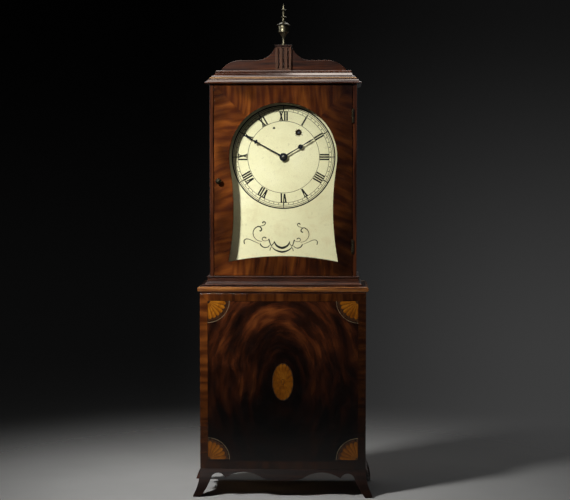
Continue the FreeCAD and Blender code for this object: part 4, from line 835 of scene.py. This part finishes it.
# ---- the finial ----
# Its outline in millimetres, as (height, radius): foot, stem, urn, flanged lid, then the spike and its discs.
FINIAL_FOOT = [(0.0, 0.0), (0.0, 4.2), (1.2, 4.2), (2.0, 3.7), (3.7, 3.0), (7.5, 2.2), (11.2, 2.0),
               (15.0, 2.8), (18.7, 5.0)]
FINIAL_URN = [(21.8, 7.2), (23.1, 8.5), (23.5, 9.4), (24.4, 9.7), (25.3, 9.3), (26.0, 8.9), (30.0, 9.1),
              (34.4, 9.2)]
FINIAL_LID = [(35.3, 8.8), (35.9, 11.8), (36.5, 12.8), (37.2, 12.5), (38.1, 9.6), (39.6, 7.2), (41.2, 4.8),
              (43.0, 2.6), (46.2, 2.4)]
FINIAL_SPIKE = [(48.9, 1.7), (50.0, 4.6), (50.7, 5.3), (51.4, 4.8), (52.3, 2.5), (54.9, 1.9), (59.3, 2.5),
                (61.8, 1.7), (63.0, 3.8), (63.7, 4.4), (64.4, 3.9), (65.2, 2.2), (69.9, 1.7), (74.0, 0.7),
                (74.5, 0.0)]


def finial(brass):
    """The turned finial: a waisted foot, an urn with a flanged lid, and a spike with two thin discs."""
    low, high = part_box("finial")
    outline = FINIAL_FOOT + FINIAL_URN + FINIAL_LID + FINIAL_SPIKE
    centre = Vector(((low.x + high.x) / 2, (low.y + high.y) / 2, high.z - outline[-1][0] * MM))
    mesh = lathe("finial_turned", centre, [(along * MM, radius * MM) for along, radius in outline], "z")
    shade_smooth(mesh, 50.0)
    new_piece("finial_turned", mesh, BODY_OF["finial"], brass, ("finial",))


# ---- inlays ----
FAN = 33.0 * MM
FAN_LEAVES = 6
FAN_HUB = 5.0 * MM
FAN_RIM = 3.4 * MM
FAN_TOOTH = 1.2 * MM
FAN_STRING = 39.2 * MM
STRING_HALF = 0.45 * MM
OVAL_LEAVES = 16
OVAL_EDGE = 0.5 * MM
LEAF = 0.06 * MM
FLUSH = (PANEL_LOW.y - LEAF, PANEL_LOW.y + LEAF)
PROUD = (PANEL_LOW.y - 2 * LEAF, PANEL_LOW.y)
HUB_PROUD = (PANEL_LOW.y - 3 * LEAF, PANEL_LOW.y)
CENTRE_DOT = 0.2 * MM


def inlay_piece(work, name, finish, replaced=()):
    new_piece(name, finish_mesh(work, name), "case", finish, replaced)


def leaf_piece(name, finish, leaves, spots, gap, steps, deepest=1.0, eye=None):
    """The leaves of a fan or rosette; spots gives a leaf's inner and outer point for a turn and roundness."""
    work = bmesh.new()
    layer = work.verts.layers.float.new("shade")
    for leaf in range(leaves):
        shares = [index / steps for index in range(steps + 1)]
        points = [spots((leaf + gap + (1.0 - 2 * gap) * share) / leaves, sin(pi * share) ** 0.6)
                  for share in shares]
        inner, outer = zip(*points)
        band(work, inner, outer, PROUD, shades=[share * deepest for share in shares], layer=layer)
    if eye:
        band(work, *eye, PROUD, True, [0.2] * len(eye[0]), layer)
    inlay_piece(work, name, finish)


def fan(corner_x, corner_z, way_x, way_z, name, wood, scorched, string):
    """One quarter fan: scorched ground and rim, six rounded leaves, a dark hub and a pale line outside."""

    def spot(reach, turn):
        angle = pi / 2 * turn
        return corner_x + way_x * reach * cos(angle), corner_z + way_z * reach * sin(angle)

    def toothed(turn):
        return FAN + FAN_RIM + FAN_TOOTH * abs(cos(pi * turn * FAN_LEAVES))

    def quarter(reach, steps=48):
        turns = [index / steps for index in range(steps + 1)]
        return [spot(reach(turn) if callable(reach) else reach, turn) for turn in turns]

    def leaf_spots(turn, roundness):
        return spot(FAN_HUB - 0.4 * MM, turn), spot(FAN * (0.895 + 0.105 * roundness), turn)

    work = bmesh.new()
    band(work, quarter(CENTRE_DOT), quarter(toothed), FLUSH)
    band(work, quarter(CENTRE_DOT), quarter(FAN_HUB), HUB_PROUD)
    inlay_piece(work, name + "_ground", scorched)
    leaf_piece(name + "_leaves", wood, FAN_LEAVES, leaf_spots, 0.03, 10)
    work = bmesh.new()
    band(work, quarter(FAN_STRING - STRING_HALF), quarter(FAN_STRING + STRING_HALF), FLUSH)
    inlay_piece(work, name + "_string", string)


def patera(wood, scorched, string):
    """The oval: sixteen leaves round a small eye, with a dark edge and a thin pale line."""

    def spot(scale, turn, grow=0.0):
        angle = 2 * pi * turn
        return (OVAL.x + (OVAL_WIDE / 2 * scale + grow) * sin(angle),
                OVAL.z + (OVAL_TALL / 2 * scale + grow) * cos(angle))

    def oval(scale, steps=96, grow=0.0):
        return [spot(scale, index / steps, grow) for index in range(steps)]

    def leaf_spots(turn, roundness):
        return spot(0.16, turn), spot(0.93 + 0.07 * roundness, turn)

    edge = oval(1.0, grow=OVAL_EDGE)
    work = bmesh.new()
    band(work, oval(0.02), edge, FLUSH, closed=True)
    inlay_piece(work, "oval_ground", scorched, ("panel_inlays",))
    work = bmesh.new()
    band(work, edge, oval(1.0, grow=2 * OVAL_EDGE), FLUSH, closed=True)
    inlay_piece(work, "oval_string", string)
    eye = (oval(0.004, 24), oval(0.13, 24))
    leaf_piece("oval_leaves", wood, OVAL_LEAVES, leaf_spots, 0.02, 8, 0.6, eye)


# ---- the weight's line ----
LINE_RADIUS = 0.5 * MM
LINE_SIDES = 8
FALL_STEPS = 24
TURN_STEPS = 20


def weight_line(material):
    """Gut from the drum down round the pulley and up to its knot."""
    low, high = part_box("weight_line")
    knot_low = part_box("seat_board")[0].z
    middle_y = (low.y + high.y) / 2
    turn_x = (low.x + high.x) / 2
    bend = (high.x - low.x) / 2 - LINE_RADIUS
    turn_z = low.z + LINE_RADIUS + bend
    falling = [index / FALL_STEPS for index in range(FALL_STEPS + 1)]
    half_turn = [pi * index / TURN_STEPS for index in range(TURN_STEPS + 1)]
    route = [(turn_x - bend, high.z - (high.z - turn_z) * share) for share in falling[:-1]]
    route += [(turn_x - bend * cos(angle), turn_z - bend * sin(angle)) for angle in half_turn]
    route += [(turn_x + bend, turn_z + (knot_low - turn_z) * share) for share in falling[1:]]
    work = bmesh.new()
    rings = []
    for index, (x, z) in enumerate(route):
        ahead, behind = route[min(index + 1, len(route) - 1)], route[max(index - 1, 0)]
        along = Vector((ahead[0] - behind[0], 0.0, ahead[1] - behind[1])).normalized()
        across = Vector((0.0, 1.0, 0.0)).cross(along) * LINE_RADIUS
        forward = Vector((0.0, LINE_RADIUS, 0.0))
        angles = [2 * pi * side / LINE_SIDES for side in range(LINE_SIDES)]
        middle = Vector((x, middle_y, z))
        rings.append([work.verts.new(middle + across * cos(angle) + forward * sin(angle))
                      for angle in angles])
    for one, two in zip(rings, rings[1:]):
        for side in range(LINE_SIDES):
            after = (side + 1) % LINE_SIDES
            work.faces.new((one[side], one[after], two[after], two[side]))
    work.faces.new(rings[0][::-1])
    work.faces.new(rings[-1])
    mesh = finish_mesh(work, "weight_line_gut")
    shade_smooth(mesh)
    mesh.materials.append(material)
    line = new_object("weight_line_gut", mesh)
    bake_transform(line)
    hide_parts("weight_line")
    REPLACED.add("weight_line")


# ---- putting the looks on the model ----
ARRIS = {"cornice_moulding": 1.1, "crest_plinth": 0.2, "door_frame": 0.5, "base_front_panel": 0.35,
         "hood_left_side": 1.6, "hood_right_side": 1.6}
USUAL_ARRIS = 0.6
HARDWARE_ARRIS = {"door_knob": 0.2, "latch_tongue": 0.3, "hinge_case_leaves": 0.2, "hinge_door_leaves": 0.2}
HOUR_HAND = {"angle": radians(59.0), "length": 67.0 * MM, "ornament_at": 36.0 * MM, "hub": 7.4 * MM}
MINUTE_HAND = {"angle": radians(299.0), "length": 84.0 * MM, "ornament_at": 57.0 * MM, "hub": 5.9 * MM}


def case_woods():
    """The finish of each wooden node."""
    upright = straight_wood("mahogany_upright", "z", MAHOGANY, 8.0 * MM)
    level = straight_wood("mahogany_level", "x", MAHOGANY)
    deep = straight_wood("mahogany_deep", "y", MAHOGANY)
    glossy = straight_wood("mahogany_cornice", "x", MAHOGANY, roughness=0.17, coat=1.0)
    # The bead's light orange is partly a lighter wood and partly a painted highlight along it.
    bead_tone_and_highlight = straight_wood("mahogany_bead", "x", BEAD_WOOD_AND_HIGHLIGHT, roughness=0.24, coat=0.4)
    # The apron's near-black wood is painted shade, standing in for the shadow it lies in.
    shadowed = straight_wood("mahogany_apron", "x", APRON_PAINTED_SHADE, roughness=0.45, coat=0.0, specular=0.12)
    waist = straight_wood("mahogany_waist", "x", MAHOGANY, roughness=0.34, coat=0.0)
    shelf = pine("x")
    return {
        "base_front_panel": base_veneer(), "door_frame": door_veneer(), "base_left_side": upright,
        "base_right_side": upright, "hood_left_side": upright, "hood_right_side": upright,
        "base_top_board": level, "base_top_moulding": bead_tone_and_highlight, "waist_moulding": waist,
        "cornice_moulding": glossy, "crest_board": waist, "crest_plinth": plinth_wood(),
        "front_apron": shadowed, "left_apron": deep, "right_apron": deep, "back_board": pine("z"),
        "seat_board": shelf, "base_bottom_board": shelf, "hood_top_board": shelf, "foot_blocks": pine("y"),
    }


def inlays():
    """A fan in each corner of the base's front, and the oval at its middle."""
    satin = inlay_wood("satinwood_fans", 0.66)
    scorched = speckled("scorched_inlay", 300.0, *SCORCHED)
    string = speckled("boxwood_string", 160.0, *BOXWOOD)
    for side, way, hand_side in ((INLAY_LOW.x, 1, "left"), (INLAY_HIGH.x, -1, "right")):
        for level, up, place in ((INLAY_LOW.z, 1, "lower"), (INLAY_HIGH.z, -1, "upper")):
            fan(side, level, way, up, "fan_%s_%s" % (place, hand_side), satin, scorched, string)
    dark_string = speckled("darkened_string", 160.0, *DARKENED)
    patera(inlay_wood("satinwood_oval", 0.38), scorched, dark_string)


def dress():
    """Finish every node: the case as softened or reshaped copies, the works by material alone."""
    case_brass = metal("aged_brass", (0.034, 0.03, 0.019), (0.25, 0.228, 0.15), 0.3, 120.0)
    clock_brass = metal("clock_brass", (0.26, 0.15, 0.05), (0.62, 0.43, 0.16), 0.26, 120.0)
    steel = metal("polished_steel", (0.1, 0.1, 0.105), (0.42, 0.42, 0.43), 0.24, 160.0)
    blued = metal("blued_steel", (0.008, 0.009, 0.012), (0.03, 0.034, 0.048), 0.34, 220.0)
    collet_brass = metal("dark_collet", (0.03, 0.03, 0.032), (0.16, 0.16, 0.15), 0.3, 220.0)
    dark_brass = metal("hinge_brass", (0.01, 0.009, 0.006), (0.05, 0.042, 0.024), 0.38, 160.0)
    for node, wood in case_woods().items():
        softened(node, wood, ARRIS.get(node, USUAL_ARRIS))
    finial(case_brass)
    for node, width in HARDWARE_ARRIS.items():
        softened(node, dark_brass, width)
    softened("weight", cast_iron(), 1.2, 3)
    softened("pendulum_bob", clock_brass, 0.3)
    inlays()
    paint_dial(dial_ink())
    hand("hour_hand", "ring", blued, **HOUR_HAND)
    hand("minute_hand", "cross", blued, **MINUTE_HAND)
    collet(collet_brass)
    weight_line(gut())
    plain = {"clock_brass": clock_brass, "steel": steel, "glass": window_glass(), "dial_paint": dial_paint()}
    for node, made in frame["nodes"].items():
        if node not in REPLACED:
            made.data.materials.clear()
            made.data.materials.append(plain[SLOT_OF[node]])


# ---- floor, lights and camera ----
ROOM = 0.045
FLOOR_SIZE = 12.0
# The share of floor paint left at the edge of the painted pool of light.
FLOOR_TAIL = 0.05
FLOOR_GREYS = [(0.3, (0.44, 0.44, 0.435)), (0.7, (0.5, 0.5, 0.495))]
# Each lamp's place, what it faces, its width and height, its watts, then its colour and spread in radians.
LAMPS = {
    "key": ((-1.45, -2.5, 1.95), (-0.32, 0.0, 0.53), (0.32, 0.32), 4.3, (1.0, 0.985, 0.95), 0.46),
    "fill": ((0.6, -3.4, 1.4), (0.0, 0.0, 0.7), (1.2, 1.2), 0.28, (0.6, 0.9, 1.5)),
    "crown": ((-0.12, -0.16, 1.24), (0.0, -0.04, 0.76), (0.9, 0.12), 3.4, (1.0, 0.9, 0.8)),
    "top": ((0.0, 0.1, 2.3), (0.0, 0.0, 0.7), (1.4, 1.4), 5.0),
    "left": ((-2.3, 0.5, 1.1), (0.0, 0.1, 0.5), (1.6, 1.6), 12.0),
    "right": ((2.3, 0.9, 1.1), (0.0, 0.1, 0.5), (1.6, 1.6), 16.0),
    "rear": ((0.0, 2.6, 2.7), (0.0, 0.1, 0.5), (2.2, 1.4), 22.0),
    "crest": ((-0.55, -0.75, 1.15), (0.0, -0.03, 0.84), (0.1, 0.1), 0.35, (1.0, 0.95, 0.88), 0.5),
    "wash": ((-1.45, -1.2, 2.3), (-0.15, -0.1, 0.0), (0.35, 0.35), 3.1, (1.0, 0.99, 0.97), 0.75),
}
# The objects that a lamp lights alone, or those that its light is kept off.
LIT_ALONE = {"crest": ("crest_plinth_finished",), "wash": ("studio_floor",)}
KEPT_DARK = {"crown": ("studio_floor", "finial_turned", "base_top_moulding_finished"),
             "right": ("studio_floor", "finial_turned"),
             "key": ("studio_floor",), "left": ("studio_floor",), "rear": ("studio_floor",)}
# The room's glow grows towards the right and downwards: where it starts and ends, and its strength there.
GLOW_RIGHT = (-0.12, 0.16, 0.08, 1.0)
GLOW_DOWN = (0.12, -0.16, 0.12, 1.0)
CAMERA_AZIMUTH = radians(2.0)
CAMERA_ASIDE = radians(0.036)
CAMERA_TILT = radians(3.08)
CAMERA_REACH = 2.684
CAMERA_HEIGHT = 0.587
LENS = 92.3


def stand():
    """A pale floor whose paint fades into the dark room all round from near the clock: a painted pool of
    light, gone far from the clock.
    """
    s = Shader("studio_floor")
    x, y, _ = s.split(s.place)
    away = s.length(x, y)
    paint = s.node("BsdfDiffuse", {"Color": s.ramp(s.noise(s.place, 3.0, 3.0), *FLOOR_GREYS)}).outputs[0]
    nothing = s.node("BsdfTransparent").outputs[0]
    # The paint gives way to see-through from 0.18 m out: a painted pool of light that darkens away from the
    # clock.
    near = s.fade(away, 0.18, 1.05, 1.0, FLOOR_TAIL, True)
    seen = s.times(near, s.fade(away, 0.9, 2.4, 1.0, 0.0, True))
    bpy.ops.mesh.primitive_plane_add(size=FLOOR_SIZE, location=(0.0, 0.0, 0.0))
    floor = bpy.context.object
    floor.name = "studio_floor"
    floor.data.materials.append(s.finish(s.node("MixShader", {0: seen, 1: nothing, 2: paint})))


def lamp(name, place, target, size, power, colour=(1.0, 1.0, 1.0), spread=pi):
    data = bpy.data.lights.new(name, "AREA")
    data.shape = "RECTANGLE"
    data.size, data.size_y = size
    data.energy = power
    data.color = colour
    data.spread = spread
    made = new_object(name, data)
    made.visible_camera = False
    made.location = place
    made.rotation_euler = (Vector(target) - Vector(place)).to_track_quat("-Z", "Y").to_euler()


def limit_light(name, state, things):
    """Let a lamp's light fall on some objects only (INCLUDE), or keep it off them (EXCLUDE)."""
    group = bpy.data.collections.new(name + "_reach")
    for thing in things:
        group.objects.link(bpy.data.objects[thing])
    bpy.data.objects[name].light_linking.receiver_collection = group
    for linked in group.collection_objects:
        linked.light_linking.link_state = state


def room():
    """The dark studio, with a soft glow low down on the right."""
    s = Shader("studio_room", bpy.data.worlds)
    x, _, z = s.split(s.node("TexCoord").outputs["Generated"])
    glow = s.times(s.fade(x, *GLOW_RIGHT, True), s.fade(z, *GLOW_DOWN, True))
    background = s.node("Background", {"Color": (ROOM, ROOM, ROOM), "Strength": glow})
    bpy.context.scene.world = s.finish(background, "OutputWorld")


def studio():
    stand()
    room()
    for name, settings in LAMPS.items():
        lamp(name, *settings)
    for name, things in LIT_ALONE.items():
        limit_light(name, "INCLUDE", things)
    for name, things in KEPT_DARK.items():
        limit_light(name, "EXCLUDE", things)
    bpy.context.scene.view_settings.view_transform = "Standard"


def camera():
    """A little below the dial's centre, two degrees to the clock's right, looking slightly down."""
    data = bpy.data.cameras.new("camera")
    data.lens = LENS
    data.clip_end = 50.0
    made = new_object("camera", data)
    away = CAMERA_REACH * Vector((sin(CAMERA_AZIMUTH), -cos(CAMERA_AZIMUTH), 0.0))
    made.location = (away.x, away.y, CAMERA_HEIGHT)
    made.rotation_euler = (pi / 2 - CAMERA_TILT, 0.0, CAMERA_AZIMUTH - CAMERA_ASIDE)
    bpy.context.scene.camera = made


dress()
studio()
camera()
